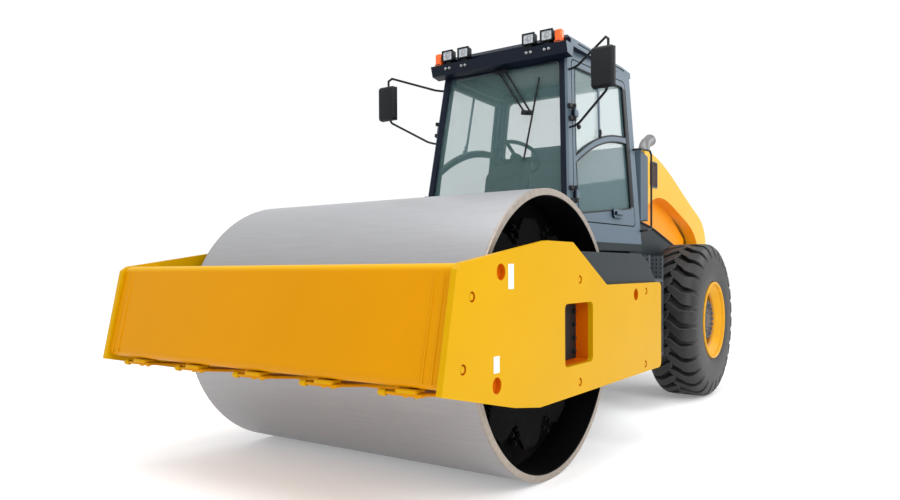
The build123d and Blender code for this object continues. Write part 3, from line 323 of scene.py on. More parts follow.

# %% [markdown]
# ## Materials
# Every paint is made by one function from its colour, its gloss, how worn and dusty it is, and any
# light and shade painted onto faces by their direction.

# %% Paints
DUST_COLOUR = (0.36, 0.31, 0.25)
# Blue-grey painted sky reflection for the cab's outward side faces.
CAB_SKY_REFLECTION = (0.088, 0.125, 0.160)
EDGE_RADIUS = 0.006


def start_material(name):
    """Makes a node material and returns it with its tree and its main shader."""
    material = bpy.data.materials.new(name)
    material.use_nodes = True
    return material, material.node_tree, material.node_tree.nodes["Principled BSDF"]


def use_group(tree, group, **values):
    """Adds a group node with its values set and returns its first output."""
    node = tree.nodes.new("ShaderNodeGroup")
    node.node_tree = group
    for label, value in values.items():
        node.inputs[label].default_value = value
    return node.outputs[0]


def add_dust(tree, shader, base, amount, height, colour=DUST_COLOUR):
    """Links a colour to the shader under a film of dust, and returns the film."""
    film = use_group(tree, dust_group, Amount=amount, Height=height)
    tree.links.new(mix_colour(tree, film, base, colour), shader.inputs["Base Color"])
    return film


def add_grain(tree, shader, scale, strength):
    """Links the paint grain to the shader's normal."""
    grain = use_group(tree, grain_group, Scale=scale, Strength=strength)
    tree.links.new(grain, shader.inputs["Normal"])


def facing(tree, axis, sign):
    """How much a face looks along an axis, 0 to 1; a sign of 0 means away from the middle."""
    parts = tree.nodes.new("ShaderNodeSeparateXYZ")
    normal = tree.nodes.new("ShaderNodeNewGeometry").outputs["Normal"]
    tree.links.new(normal, parts.inputs[0])
    value = parts.outputs[axis]
    if sign == 0:
        value = times(tree, value, math_node(tree, "SIGN", object_place(tree)[1][axis]))
    elif sign < 0:
        value = times(tree, value, -1.0)
    return ramp(tree, value, 0.25, 2.0)


def paint(
    name, colour, rough=0.35, wear=0.1, dust=0.03, worn=None, metallic=0.0, coat=0.0,
    shine=0.3, light_and_shade_tints=(),
):
    """Sprayed metal with rubbed edges, dust and grain; faces can be recoloured by their direction,
    which paints light and shade onto them.
    """
    material, tree, shader = start_material(name)
    drift = piece_noise(tree, 1.7, 3)
    base = mix_colour(tree, drift, colour, tuple(c * 0.88 for c in colour))
    # Painted light and shade: each entry recolours the faces that look along one axis.
    for axis, sign, tint in light_and_shade_tints:
        base = mix_colour(tree, facing(tree, axis, sign), base, tint)
    if wear:
        edges = use_group(tree, edge_group, Radius=EDGE_RADIUS, Amount=wear)
        bare = worn or tuple(min(1, c * 1.5 + 0.05) for c in colour)
        base = mix_colour(tree, edges, base, bare)
    film = add_dust(tree, shader, base, dust, 0.9)
    haze = math_node(tree, "ADD", times(tree, film, 0.5), rough)
    tree.links.new(haze, shader.inputs["Roughness"])
    add_grain(tree, shader, 350.0, 0.05)
    shader.inputs["Metallic"].default_value = metallic
    shader.inputs["Specular IOR Level"].default_value = shine
    shader.inputs["Coat Weight"].default_value = coat
    shader.inputs["Coat Roughness"].default_value = 0.15
    return material


YELLOW = paint("yellow paint", (0.59, 0.32, 0.0), wear=0.3, worn=(0.65, 0.40, 0.02), shine=0.05)
# Up-facing faces get a yellower tone: a painted highlight from the light above.
AMBER = paint(
    "amber paint", (0.62, 0.255, 0.0), wear=0.4, worn=(0.66, 0.34, 0.01), shine=0.05,
    light_and_shade_tints=[("Z", 1, (0.62, 0.34, 0.006))],
)
# Painted shade: this orange stands for the yellow paint in shade on the walls of holes and of the
# drum carriers' pocket.
RECESS_SHADE = paint("orange recess shade", (0.60, 0.12, 0.0), wear=0.2, worn=(0.65, 0.2, 0.01), shine=0.05)
# Down-facing faces get a bright orange painted shade, and up-facing faces a paler painted
# highlight.
HOOD_YELLOW = paint(
    "hood paint", (0.78, 0.42, 0.005), wear=0.15, worn=(0.8, 0.5, 0.08), coat=0.05, shine=0.2,
    light_and_shade_tints=[("Z", -1, (1.0, 0.36, 0.0)), ("Z", 1, (0.80, 0.50, 0.04))],
)
# Painted shade: the orange flange under the hood's arch stands for the yellow paint in shade.
ARCH_SHADE_ORANGE = paint("arch shade orange", (0.95, 0.33, 0.0), shine=0.15)
SLATE = paint(
    "slate paint", (0.011, 0.018, 0.022), rough=0.5, wear=0.3, dust=0.06,
    worn=(0.06, 0.07, 0.075), shine=0.2,
)
# Outward side faces get the painted sky reflection; the rest keep the near-black base, which on
# the cab's inside faces is painted shade.
CAB_PAINT = paint(
    "cab paint", (0.003, 0.007, 0.017), rough=0.4, dust=0.02, shine=0.15,
    light_and_shade_tints=[("Y", 0, CAB_SKY_REFLECTION)],
)
# The trim takes the painted sky reflection as its whole colour.
CAB_TRIM = paint("cab trim", CAB_SKY_REFLECTION, rough=0.4, dust=0.02, shine=0.15)
DRUM_BLACK = paint(
    "drum black", (0.0015, 0.0015, 0.002), rough=0.7, worn=(0.03, 0.025, 0.02), shine=0.05,
)
BLACK = paint("black plastic", (0.007, 0.008, 0.010), rough=0.5, dust=0.04, shine=0.2)
GREY = paint("grey plastic", (0.10, 0.11, 0.125), rough=0.5, dust=0.05)
STEEL = paint("machined steel", (0.35, 0.36, 0.38), wear=0.3, dust=0.15, metallic=0.9)
DULL_STEEL = paint(
    "dull steel", (0.20, 0.20, 0.205), rough=0.42, wear=0.2, dust=0.05, metallic=0.6,
)
CHROME = paint("bright steel", (0.42, 0.42, 0.43), rough=0.3, wear=0.2, dust=0.05, metallic=1.0)
LABEL = paint("blank label", (0.72, 0.75, 0.74), rough=0.4, wear=0, dust=0.1, coat=0.1)
GRILLE = paint("brown grille", (0.045, 0.018, 0.012), rough=0.6, wear=0.2, dust=0.1)
HUB_GREY = paint(
    "hub grey", (0.075, 0.070, 0.070), rough=0.5, wear=0.4, dust=0.15, worn=(0.2, 0.19, 0.18),
)
MIRROR = paint("mirror glass", (0.5, 0.53, 0.56), rough=0.04, wear=0, metallic=1.0)
print("paints", len(bpy.data.materials))

# %% [markdown]
# ## Brushed steel drum
# The lines run along the drum's axle, so the texture is made from the angle around it.

# %% Drum steel
SHELL_END = 1.045
SHELL_INSIDE = 0.763
BRUSH_TURN = 60


def drum_steel():
    """Brushed steel, rusty at the shell's ends, and near-black painted shade on its inside."""
    material, tree, shader = start_material("brushed drum")
    whole, place = object_place(tree)
    across, height, reach = from_axle(tree, place, DRUM_X, DRUM_RADIUS)
    angle = math_node(tree, "ARCTAN2", height, across)
    vector = tree.nodes.new("ShaderNodeCombineXYZ")
    for socket, value in zip(vector.inputs, (
        times(tree, math_node(tree, "SINE", angle), BRUSH_TURN),
        times(tree, math_node(tree, "COSINE", angle), BRUSH_TURN),
        times(tree, place["Y"], 1.6),
    )):
        tree.links.new(value, socket)
    lines = noise_node(tree, vector.outputs[0], 2.2, 8, 0.7)
    broad = noise_node(tree, vector.outputs[0], 0.06, 3)
    base = mix_colour(tree, lines, (0.24, 0.24, 0.25), (0.46, 0.46, 0.47))
    base = mix_colour(tree, times(tree, broad, 0.5), base, (0.33, 0.33, 0.34))
    rim = ramp(tree, math_node(tree, "ABSOLUTE", place["Y"]), SHELL_END, 60)
    spots = noise_node(tree, whole, 30, 8, 0.75)
    rust = mix_colour(tree, spots, (0.16, 0.12, 0.09), (0.5, 0.45, 0.4))
    base = mix_colour(tree, rim, base, rust)
    # Painted shade: the shell's inner face turns near-black and barely metallic.
    inside = math_node(tree, "LESS_THAN", reach, SHELL_INSIDE)
    base = mix_colour(tree, inside, base, (0.0015, 0.0015, 0.002))
    tree.links.new(base, shader.inputs["Base Color"])
    metal = minus(tree, 0.62, times(tree, inside, 0.6), clamp=True)
    tree.links.new(metal, shader.inputs["Metallic"])
    gloss = math_node(tree, "ADD", times(tree, lines, 0.2), 0.36)
    tree.links.new(gloss, shader.inputs["Roughness"])
    shader.inputs["Specular IOR Level"].default_value = 0.25
    add_bump(tree, shader, lines, 0.12, 0.001)
    return material


DRUM_STEEL = drum_steel()
print(DRUM_STEEL.name)

# %% [markdown]
# ## Rubber, glass and lenses

# %% Other materials
DISH_EDGE = 0.252
HUB_EDGE = 0.188


def rim_paint():
    """Wheel paint: a yellow lip that darkens to a brown dish as painted shade in the deep well,
    with a grey hub.
    """
    material, tree, shader = start_material("rim paint")
    whole, place = object_place(tree)
    reach = from_axle(tree, place, WHEEL_X, TYRE_RADIUS)[2]
    patches = noise_node(tree, whole, 14, 6, 0.7)
    lip = mix_colour(tree, patches, (0.80, 0.42, 0.0), (0.62, 0.26, 0.0))
    # Painted shade: the dish inside the lip is a darker brown.
    dish = mix_colour(tree, patches, (0.52, 0.20, 0.0), (0.34, 0.12, 0.005))
    hub = mix_colour(tree, patches, (0.09, 0.085, 0.085), (0.17, 0.16, 0.155))
    base = mix_colour(tree, ramp(tree, reach, DISH_EDGE, 60), dish, lip)
    base = mix_colour(tree, ramp(tree, reach, HUB_EDGE, -200), base, hub)
    edges = use_group(tree, edge_group, Radius=EDGE_RADIUS, Amount=0.4)
    base = mix_colour(tree, edges, base, (0.6, 0.35, 0.08))
    add_dust(tree, shader, base, 0.12, 1.2)
    shader.inputs["Roughness"].default_value = 0.45
    shader.inputs["Specular IOR Level"].default_value = 0.2
    add_grain(tree, shader, 200.0, 0.12)
    return material


def rubber():
    """Tyre rubber, paler at its edges: rubbed wear and a painted highlight together."""
    material, tree, shader = start_material("worn rubber")
    clouds = piece_noise(tree, 9, 8, 0.7)
    base = mix_colour(tree, clouds, (0.006, 0.006, 0.007), (0.028, 0.027, 0.028))
    # The pale edge colour is rubbed wear and also a painted highlight on the lug edges.
    edges = use_group(tree, edge_group, Radius=0.010, Amount=0.8)
    base = mix_colour(tree, edges, base, (0.13, 0.125, 0.12))
    add_dust(tree, shader, base, 0.15, 1.2, (0.16, 0.14, 0.12))
    shader.inputs["Roughness"].default_value = 0.5
    shader.inputs["Specular IOR Level"].default_value = 0.35
    add_grain(tree, shader, 180.0, 0.35)
    return material


def perforated():
    """Step metal with rows of punched holes, which are near-black as painted shade."""
    material, tree, shader = start_material("perforated steps")
    waves = crossed_waves(tree, object_place(tree)[1], 180)
    holes = math_node(tree, "GREATER_THAN", waves, 0.55)
    # The holes are near-black: painted shade seen through them.
    base = mix_colour(tree, holes, (0.05, 0.062, 0.075), (0.003, 0.003, 0.004))
    add_dust(tree, shader, base, 0.3, 1.4)
    shader.inputs["Roughness"].default_value = 0.5
    add_bump(tree, shader, holes, 0.4, 0.003, invert=True)
    return material


def clear(name, colour, alpha, rough):
    """Tinted glass or a lens: see-through, with a faint film that varies over it."""
    material, tree, shader = start_material(name)
    film = piece_noise(tree, 1.2, 2)
    base = mix_colour(tree, film, colour, tuple(c * 0.93 for c in colour))
    tree.links.new(base, shader.inputs["Base Color"])
    haze = math_node(tree, "ADD", times(tree, film, 0.05), rough)
    tree.links.new(haze, shader.inputs["Roughness"])
    shader.inputs["Alpha"].default_value = alpha
    shader.inputs["Specular IOR Level"].default_value = 0.6
    return material


def fabric():
    """Woven seat cloth with a fine two-way weave and soft wear."""
    material, tree, shader = start_material("seat fabric")
    whole, place = object_place(tree)
    weave = crossed_waves(tree, place, 2600)
    clouds = noise_node(tree, whole, 12, 6, 0.7)
    base = mix_colour(tree, clouds, (0.016, 0.019, 0.024), (0.035, 0.040, 0.048))
    threads = times(tree, weave, 0.3, clamp=True)
    base = mix_colour(tree, threads, base, (0.06, 0.065, 0.075))
    tree.links.new(base, shader.inputs["Base Color"])
    shader.inputs["Roughness"].default_value = 0.85
    shader.inputs["Sheen Weight"].default_value = 0.3
    add_bump(tree, shader, weave, 0.3, 0.001)
    return material


TYRE = rubber()
RIM_YELLOW = rim_paint()
GLASS = clear("cab glass", (0.16, 0.30, 0.30), 0.17, 0.02)
SIDE_GLASS = clear("door glass", (0.20, 0.34, 0.36), 0.24, 0.02)
ORANGE = clear("orange lens", (0.90, 0.13, 0.005), 0.97, 0.2)
LENS_WHITE = clear("ribbed lens", (0.55, 0.60, 0.64), 0.97, 0.12)
RED = clear("red lens", (0.55, 0.01, 0.01), 0.95, 0.15)
PERFORATED = perforated()
FABRIC = fabric()
print("materials", len(bpy.data.materials))

# %% [markdown]
# ## Dress the carried-over nodes

# %% Materials by node
node_materials = {
    YELLOW: ["side_plate_left", "side_plate_right"],
    AMBER: ["front_beam", "scraper"],
    RECESS_SHADE: ["drum_carriers"],
    HOOD_YELLOW: ["hood"],
    SLATE: [
        "rear_yoke", "hitch", "chassis", "steer_barrel_left", "steer_barrel_right", "rear_axle",
        "engine", "side_tanks", "rear_bumper", "cab_floor",
    ],
    CAB_PAINT: ["cab_frame", "door_left", "door_right", "cab_roof"],
    CAB_TRIM: ["corner_boxes"],
    DRUM_BLACK: ["drum_heads", "exciter_housing", "drive_discs"],
    BLACK: [
        "drum_buffers", "door_hinges", "mirror_arms", "mirror_heads", "wiper", "seat_base",
        "carrier_plates", "console", "steering_wheel", "work_lamps", "grab_rails",
    ],
    RIM_YELLOW: ["rim_left", "rim_right"],
    PERFORATED: ["steps"],
    STEEL: ["steering_pin"],
    CHROME: ["steer_rod_left", "steer_rod_right", "exhaust"],
    DRUM_STEEL: ["drum_shell"],
    TYRE: ["tyre_left", "tyre_right"],
    GLASS: ["windshield", "rear_glass"],
    SIDE_GLASS: ["door_left_glass", "door_right_glass"],
    GRILLE: ["hood_grilles"],
    ORANGE: ["turn_signals"],
    RED: ["tail_lamps"],
    FABRIC: ["seat"],
}
for material, names in node_materials.items():
    for name in names:
        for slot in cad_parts[name].material_slots:
            slot.material = material
left_over = set(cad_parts) - {n for names in node_materials.values() for n in names}
print("nodes without a look:", sorted(left_over))

# %% [markdown]
# ## Tools for new pieces
# Every new piece is built as one mesh from a few shapes: turned profiles, blocks with rounded
# edges, bars, and tubes along a path.

# %% Places on the cab
CAB_FRONT = 1.07
CAB_REAR = 2.28
CAB_FOOT = 1.36
CAB_HALF = 0.66
FRONT_LEAN = 0.2 / 1.42
REAR_LEAN = 0.06 / 1.42
SIDE_TAPER = 0.07
SIDE_LEAN = 0.0944
CAB_OUT = Vector((SIDE_TAPER, 1, SIDE_LEAN)).normalized()
FRONT_OUT = Vector((1, 0, FRONT_LEAN)).normalized()


def front_at(height):
    """Distance of the cab's front skin behind the drum axle."""
    return CAB_FRONT + FRONT_LEAN * (height - CAB_FOOT)


def rear_at(height):
    """Distance of the cab's rear skin behind the drum axle."""
    return CAB_REAR + REAR_LEAN * (height - CAB_FOOT)


def skin(back, height, out=0.0):
    """Point on the cab's left skin, or this far outside it."""
    half = CAB_HALF + SIDE_TAPER * (back - CAB_FRONT) - SIDE_LEAN * (height - CAB_FOOT)
    return at(back, half, height) + CAB_OUT * out


def front_skin(side, height, out=0.0):
    """Point on the cab's front skin, or this far in front of it."""
    return at(front_at(height), side, height) + FRONT_OUT * out


def other_side(point):
    """The same point on the machine's other side."""
    return Vector((point.x, -point.y, point.z))


print("cab corner", skin(front_at(2.0), 2.0))

# %% Mesh shapes


def turns(count):
    """Angles of this many even steps round a circle."""
    return [2 * math.pi * n / count for n in range(count)]


def swing(first, second, turn):
    """Direction turned by an angle from a first direction towards a second one."""
    return first * math.cos(turn) + second * math.sin(turn)


def corners_of(half_width, half_height):
    """Corners of a rectangle around its middle, in order."""
    w, h = half_width, half_height
    return [(-w, -h), (w, -h), (w, h), (-w, h)]


def join_rings(bm, rings, gaps, caps=True, material=0):
    """Joins each ring of vertices to the next across this many gaps, and closes the ends."""
    for low, high in zip(rings, rings[1:]):
        for k in range(gaps):
            m = (k + 1) % len(low)
            bm.faces.new((low[k], low[m], high[m], high[k])).material_index = material
    if caps:
        bm.faces.new(rings[0]).material_index = material
        bm.faces.new(rings[-1]).material_index = material


def lathe(bm, centre, axis, profile, steps, material=0):
    """Turns a profile of (radius, distance along) pairs around an axis through a point."""
    axis = axis.normalized()
    first = axis.orthogonal().normalized()
    second = axis.cross(first)
    rings = []
    for radius, along in profile:
        spot = centre + axis * along
        if radius < 1e-6:
            rings.append([bm.verts.new(spot)])
        else:
            ring = [spot + swing(first, second, turn) * radius for turn in turns(steps)]
            rings.append([bm.verts.new(place) for place in ring])
    for low, high in zip(rings, rings[1:]):
        for n in range(steps):
            m = (n + 1) % steps
            corners = [low[n % len(low)], low[m % len(low)]]
            corners += [high[m % len(high)], high[n % len(high)]]
            corners = list(dict.fromkeys(corners))
            if len(corners) > 2:
                bm.faces.new(corners).material_index = material


def block(bm, middle, size, turn=None, bevel=0.004, material=0, segments=2):
    """Adds a block with rounded edges, turned by a rotation matrix."""
    matrix = Matrix.Translation(middle)
    if turn:
        matrix = matrix @ turn.to_4x4()
    made = bmesh.ops.create_cube(bm, size=1, matrix=matrix @ Matrix.Diagonal((*size, 1)))
    for face in {face for vert in made["verts"] for face in vert.link_faces}:
        face.material_index = material
    edges = list({edge for vert in made["verts"] for edge in vert.link_edges})
    bmesh.ops.bevel(bm, geom=edges, offset=bevel, segments=segments, profile=0.5, affect="EDGES")


def bar(bm, first, last, width, depth, out, bevel=0.002, material=0):
    """Adds a flat bar between two points, with its depth along a direction."""
    along = (last - first).normalized()
    out = (out - along * out.dot(along)).normalized()
    turn = Matrix((along, out.cross(along), out)).transposed()
    block(bm, (first + last) / 2, ((last - first).length, width, depth), turn, bevel, material)


def rounded(points, reach, steps=6, closed=False):
    """Rounds the corners of a path, starting each bend this far before its corner."""
    count = len(points)
    course = [] if closed else [points[0]]
    for n in range(count) if closed else range(1, count - 1):
        corner = points[n]
        before = corner + (points[n - 1] - corner).normalized() * reach
        after = corner + (points[(n + 1) % count] - corner).normalized() * reach
        for k in range(steps + 1):
            t = k / steps
            course.append(before * (1 - t) ** 2 + corner * 2 * t * (1 - t) + after * t * t)
    return course if closed else course + [points[-1]]


def tube(bm, points, radius, sides=12, closed=False, material=0):
    """Sweeps a round section along points; the radius may be a list with one value for each."""
    count = len(points)
    normal = None
    rings = []
    for n, point in enumerate(points):
        if closed:
            tangent = points[(n + 1) % count] - points[n - 1]
        else:
            tangent = points[min(n + 1, count - 1)] - points[max(n - 1, 0)]
        tangent.normalize()
        normal = normal or tangent.orthogonal()
        normal = (normal - tangent * normal.dot(tangent)).normalized()
        other = tangent.cross(normal)
        reach = radius[n] if isinstance(radius, list) else radius
        ring = [point + swing(normal, other, turn) * reach for turn in turns(sides)]
        rings.append([bm.verts.new(place) for place in ring])
    join_rings(bm, rings + rings[:1] if closed else rings, sides, not closed, material)


def bolt(bm, place, out, radius=0.012, height=0.012, material=0):
    """Adds a hex head with a rounded top on a washer."""
    washer = [(radius * 1.3, 0), (radius * 1.3, height * 0.2), (radius * 0.9, height * 0.2)]
    lathe(bm, place, out, washer, 14, material)
    head = [(radius, height * 0.15), (radius, height * 0.85), (radius * 0.82, height), (0, height)]
    lathe(bm, place, out, head, 6, material)


def make_piece(bm, name, body, materials, replaces=(), smooth=40):
    """Turns a built mesh into an object that rides on a body and has its look."""
    bmesh.ops.recalc_face_normals(bm, faces=bm.faces)
    mesh = bpy.data.meshes.new(name)
    bm.to_mesh(mesh)
    bm.free()
    for material in materials:
        mesh.materials.append(material)
    mesh.shade_smooth()
    mesh.set_sharp_from_angle(angle=math.radians(smooth))
    piece = bpy.data.objects.new(name, mesh)
    scene.collection.objects.link(piece)
    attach(piece, body)
    if replaces:
        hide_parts(*replaces)
    print(name, len(mesh.polygons), "faces")
    return piece


def apply_modifiers(piece):
    """Bakes a piece's modifiers into its mesh."""
    graph = bpy.context.evaluated_depsgraph_get()
    baked = bpy.data.meshes.new_from_object(piece.evaluated_get(graph))
    piece.modifiers.clear()
    piece.data = baked


print("tools ready")

# %% [markdown]
# ## Tyres
# Each tyre has a smooth carcass and two rows of bent lugs, half a pitch apart, which wrap over
# the shoulders.

# %% Tyres
LUGS = 28
LUG_DEPTH = 0.058
LUG_FLARE = 1.15
# Along one lug: distance from the tyre's middle, radius, lean in degrees, half width, lead
LUG_PATH = [
    (-0.016, 0.690, 0, 0.024, -0.024),
    (0.020, 0.690, 0, 0.040, 0.018),
    (0.078, 0.690, 0, 0.042, 0.086),
    (0.100, 0.689, 2, 0.046, 0.118),
    (0.135, 0.687, 8, 0.052, 0.132),
    (0.168, 0.679, 26, 0.054, 0.134),
    (0.197, 0.652, 52, 0.054, 0.134),
    (0.214, 0.617, 68, 0.050, 0.134),
    (0.2225, 0.582, 82, 0.040, 0.134),
    (0.2245, 0.556, 88, 0.026, 0.134),
]
# Half of the carcass: radius and distance from the tyre's middle
FLANK = [
    (0.336, 0.198), (0.352, 0.209), (0.400, 0.219), (0.460, 0.2225), (0.530, 0.2220),
    (0.580, 0.2170), (0.612, 0.203), (0.632, 0.172), (0.640, 0.120), (0.641, 0.0),
]


def add_lug(bm, centre, half, start):
    """Adds one lug on a half of the tread, as sections from the middle outwards."""
    rings = []
    for across, reach, lean, width, lead in LUG_PATH:
        radial = swing(FORWARD, UP, start - lead)
        tangent = swing(UP, -FORWARD, start - lead)
        normal = swing(radial, LEFT * half, math.radians(lean))
        top = centre + radial * reach + LEFT * half * across
        foot = top - normal * LUG_DEPTH
        flare = tangent * width * LUG_FLARE
        section = (foot - flare, top - tangent * width, top + tangent * width, foot + flare)
        rings.append([bm.verts.new(place) for place in section])
    join_rings(bm, rings, 3)


def make_tyre(side, end):
    """Makes one tyre: a turned carcass, its lugs, and a bevel that wears their edges."""
    bm = bmesh.new()
    centre = Vector((WHEEL_X, side * TYRE_MIDDLE, TYRE_RADIUS))
    profile = [(radius, -across) for radius, across in FLANK[:-1]]
    profile += [(radius, across) for radius, across in reversed(FLANK)]
    lathe(bm, centre, LEFT, profile + [profile[0]], 112)
    for half, lag in ((1, 0.0), (-1, 0.5)):
        for number in range(LUGS):
            add_lug(bm, centre, half, 2 * math.pi * (number + lag) / LUGS)
    name = "lugged_tyre_" + end
    tyre = make_piece(bm, name, "wheel_" + end, [TYRE], ("tyre_" + end,))
    bevel = tyre.modifiers.new("worn edges", "BEVEL")
    bevel.width = 0.0045
    bevel.segments = 2
    bevel.limit_method = "ANGLE"
    bevel.angle_limit = math.radians(38)
    apply_modifiers(tyre)
    return tyre


for side, end in SIDES:
    print(end, len(make_tyre(side, end).data.polygons))

# %% Hubs and rim lips
HUB_FACE = 1.030
HUB_BOLTS = 20
HUB_PROFILE = [
    (0.176, 0.968), (0.176, 1.000), (0.184, 1.006), (0.184, HUB_FACE - 0.004),
    (0.180, HUB_FACE), (0.130, HUB_FACE), (0.122, HUB_FACE - 0.012),
    (0.102, HUB_FACE - 0.012), (0.098, HUB_FACE + 0.006), (0.090, HUB_FACE + 0.012),
    (0, HUB_FACE + 0.014),
]
LIP_PROFILE = [
    (0.335, 1.083), (0.343, 1.088), (0.346, 1.098), (0.342, 1.107), (0.333, 1.109),
    (0.325, 1.104), (0.321, 1.094), (0.316, 1.074),
]
axle = Vector((WHEEL_X, 0, TYRE_RADIUS))
for side, end in SIDES:
    out = LEFT * side
    bm = bmesh.new()
    lathe(bm, axle, out, HUB_PROFILE, 64)
    for number, turn in enumerate(turns(HUB_BOLTS)):
        ray = swing(FORWARD, UP, turn)
        bolt(bm, axle + out * (HUB_FACE - 0.001) + ray * 0.155, out, 0.0125, 0.020, 1)
        if number % 2 == 0:
            bolt(bm, axle + out * (HUB_FACE + 0.012) + ray * 0.072, out, 0.007, 0.007, 1)
    make_piece(bm, "planetary_hub_" + end, "wheel_" + end, [HUB_GREY, GREY])
    bm = bmesh.new()
    lathe(bm, axle, out, LIP_PROFILE, 96)
    make_piece(bm, "rim_lip_" + end, "wheel_" + end, [RIM_YELLOW])

# %% [markdown]
# ## Side plates and drum
# The plate's round recesses are lined with orange painted shade, as the window is; bolts
# show on the drive discs inside the drum.

# %% Plate recesses and blank labels
BIG_HOLES = [(0.802, 1.146), (0.841, 0.641), (-0.867, 0.993)]
SMALL_HOLES = [
    (1.039, 1.042), (1.110, 0.743), (-0.029, 1.100), (-0.025, 0.545), (-1.050, 1.010),
    (-1.038, 0.531),
]
BIG_LINER = [(0.0375, -0.001), (0.0375, -0.026), (0.030, -0.030), (0, -0.030)]
SMALL_LINER = [(0.0228, -0.001), (0.0228, -0.018), (0, -0.018)]
PLUG = [(0.017, -0.018), (0.017, -0.006), (0.014, -0.003), (0, -0.002)]
# The liners carry the orange painted shade; the plugs are the yellow seen through the small holes.
bm = bmesh.new()
for side in (1, -1):
    out = LEFT * side
    for place, height in BIG_HOLES:
        lathe(bm, at(-place, side * PLATE_Y, height), out, BIG_LINER, 32)
    for place, height in SMALL_HOLES:
        centre = at(-place, side * PLATE_Y, height)
        lathe(bm, centre, out, SMALL_LINER, 24)
        lathe(bm, centre, out, PLUG, 24, 1)
make_piece(bm, "plate_recesses", "front_frame", [RECESS_SHADE, YELLOW])
bm = bmesh.new()
for place, height, tall in ((0.715, 1.125, 0.115), (0.845, 0.735, 0.075)):
    size = (0.05, 0.0012, tall)
    block(bm, at(-place, PLATE_Y + 0.0007, height), size, bevel=0.0005, segments=1)
make_piece(bm, "blank_labels", "front_frame", [LABEL])

# %% Beam welds and drum bolts
WELD_STEPS = 12
DISC_FACE = 0.929
bm = bmesh.new()
for side in (1, -1):
    for place in (1.100, 1.150):
        points = [
            at(-1.2415 + 0.12 * k / WELD_STEPS * 0.905, side * place, 0.69 + 0.46 * k / WELD_STEPS)
            for k in range(WELD_STEPS + 1)
        ]
        tube(bm, points, [0.0035 + 0.0008 * (k % 2) for k in range(WELD_STEPS + 1)], 8)
make_piece(bm, "beam_welds", "front_frame", [AMBER])
bm = bmesh.new()
for side in (1, -1):
    middle = Vector((DRUM_X, side * DISC_FACE, DRUM_RADIUS))
    for turn in turns(10):
        for shift, reach in ((-0.062, 0.575), (0.062, 0.575), (0, 0.615), (0, 0.535)):
            ray = swing(FORWARD, UP, turn + shift)
            bolt(bm, middle + ray * reach, LEFT * side, 0.014, 0.014)
make_piece(bm, "disc_bolts", "drum", [DRUM_BLACK])

# %% Scraper
HOLDERS = 5
HOLDER_PITCH = 0.48
BLADE_X = 0.850
HOLDER_PIN = [(0, 0), (0.012, 0.004), (0.016, 0.014), (0.016, 0.040), (0.012, 0.046)]
bm = bmesh.new()
block(bm, at(-BLADE_X, 0, 0.590), (0.120, 2.15, 0.016), bevel=0.003)
for number in range(HOLDERS):
    y = HOLDER_PITCH * (number - HOLDERS // 2)
    first, last = at(-BLADE_X - 0.05, y, 0.596), at(-1.150, y, 0.628)
    bar(bm, first, last, 0.20, 0.014, UP, 0.003)
    block(bm, at(-1.185, y + 0.01, 0.634), (0.060, 0.225, 0.014))
    block(bm, at(-1.190, y + 0.045, 0.649), (0.070, 0.110, 0.022), bevel=0.006, material=1)
    lathe(bm, at(-1.205, y - 0.118, 0.634), LEFT, HOLDER_PIN, 20, 1)
    block(bm, at(-1.150, y, 0.652), (0.090, 0.080, 0.030))
    for shift in (-0.03, 0.03):
        bolt(bm, at(-1.185, y + 0.045 + shift, 0.627), DOWN, 0.011, 0.010, 1)
make_piece(bm, "scraper_holders", "front_frame", [AMBER, YELLOW], ("scraper",))

# %% [markdown]
# ## Lamps, mirrors and wiper

# %% Work lamps and indicators
LAMP_BACK = 1.18
LENS_HALF = 0.030
bm = bmesh.new()
for lamp_y in (0.44, 0.29, -0.29, -0.44):
    middle = at(LAMP_BACK, lamp_y, 2.858)
    block(bm, middle - FORWARD * 0.006, (0.052, 0.100, 0.080), bevel=0.014, segments=3)
    for way in (1, -1):
        block(bm, middle + Vector((0.024, 0, way * 0.038)), (0.018, 0.105, 0.010))
        block(bm, middle + Vector((0.024, way * 0.047, 0)), (0.018, 0.011, 0.084))
    block(bm, middle + FORWARD * 0.0215, (0.004, 0.084, 0.066), bevel=0.0015, material=2)
    for number in range(8):
        ray = swing(LEFT, UP, math.pi * number / 8)
        length = 0.030 if number % 2 else 0.038
        tips = [middle + FORWARD * 0.024 + ray * length * way for way in (-0.9, 0.9)]
        for tip in tips:
            tip.z = max(min(tip.z, middle.z + LENS_HALF), middle.z - LENS_HALF)
        bar(bm, *tips, 0.0035, 0.002, FORWARD, bevel=0.0006, material=1)
    bulb = [(0.014, 0), (0.010, 0.004), (0, 0.006)]
    lathe(bm, middle + FORWARD * 0.0225, FORWARD, bulb, 20, 1)
    block(bm, at(LAMP_BACK, lamp_y, 2.805), (0.030, 0.040, 0.026))
    for shift in (-0.018, 0.018):
        bolt(bm, at(1.1575, lamp_y + shift, 2.758), Vector((1, 0, 0.31)), 0.009, 0.011, 1)
looks = [BLACK, CHROME, LENS_WHITE]
make_piece(bm, "square_lamps", "rear_frame", looks, ("work_lamps",))
bm = bmesh.new()
for side in (1, -1):
    middle = at(LAMP_BACK, side * 0.532, 2.840)
    block(bm, middle + DOWN * 0.040, (0.060, 0.058, 0.016), material=1)
    block(bm, middle + UP * 0.006, (0.056, 0.056, 0.084), bevel=0.013, segments=3)
    for number in range(5):
        rib = middle + Vector((0.027, 0, -0.022 + 0.014 * number))
        block(bm, rib, (0.006, 0.042, 0.004), bevel=0.0015)
make_piece(bm, "indicator_lamps", "rear_frame", [ORANGE, BLACK], ("turn_signals",))

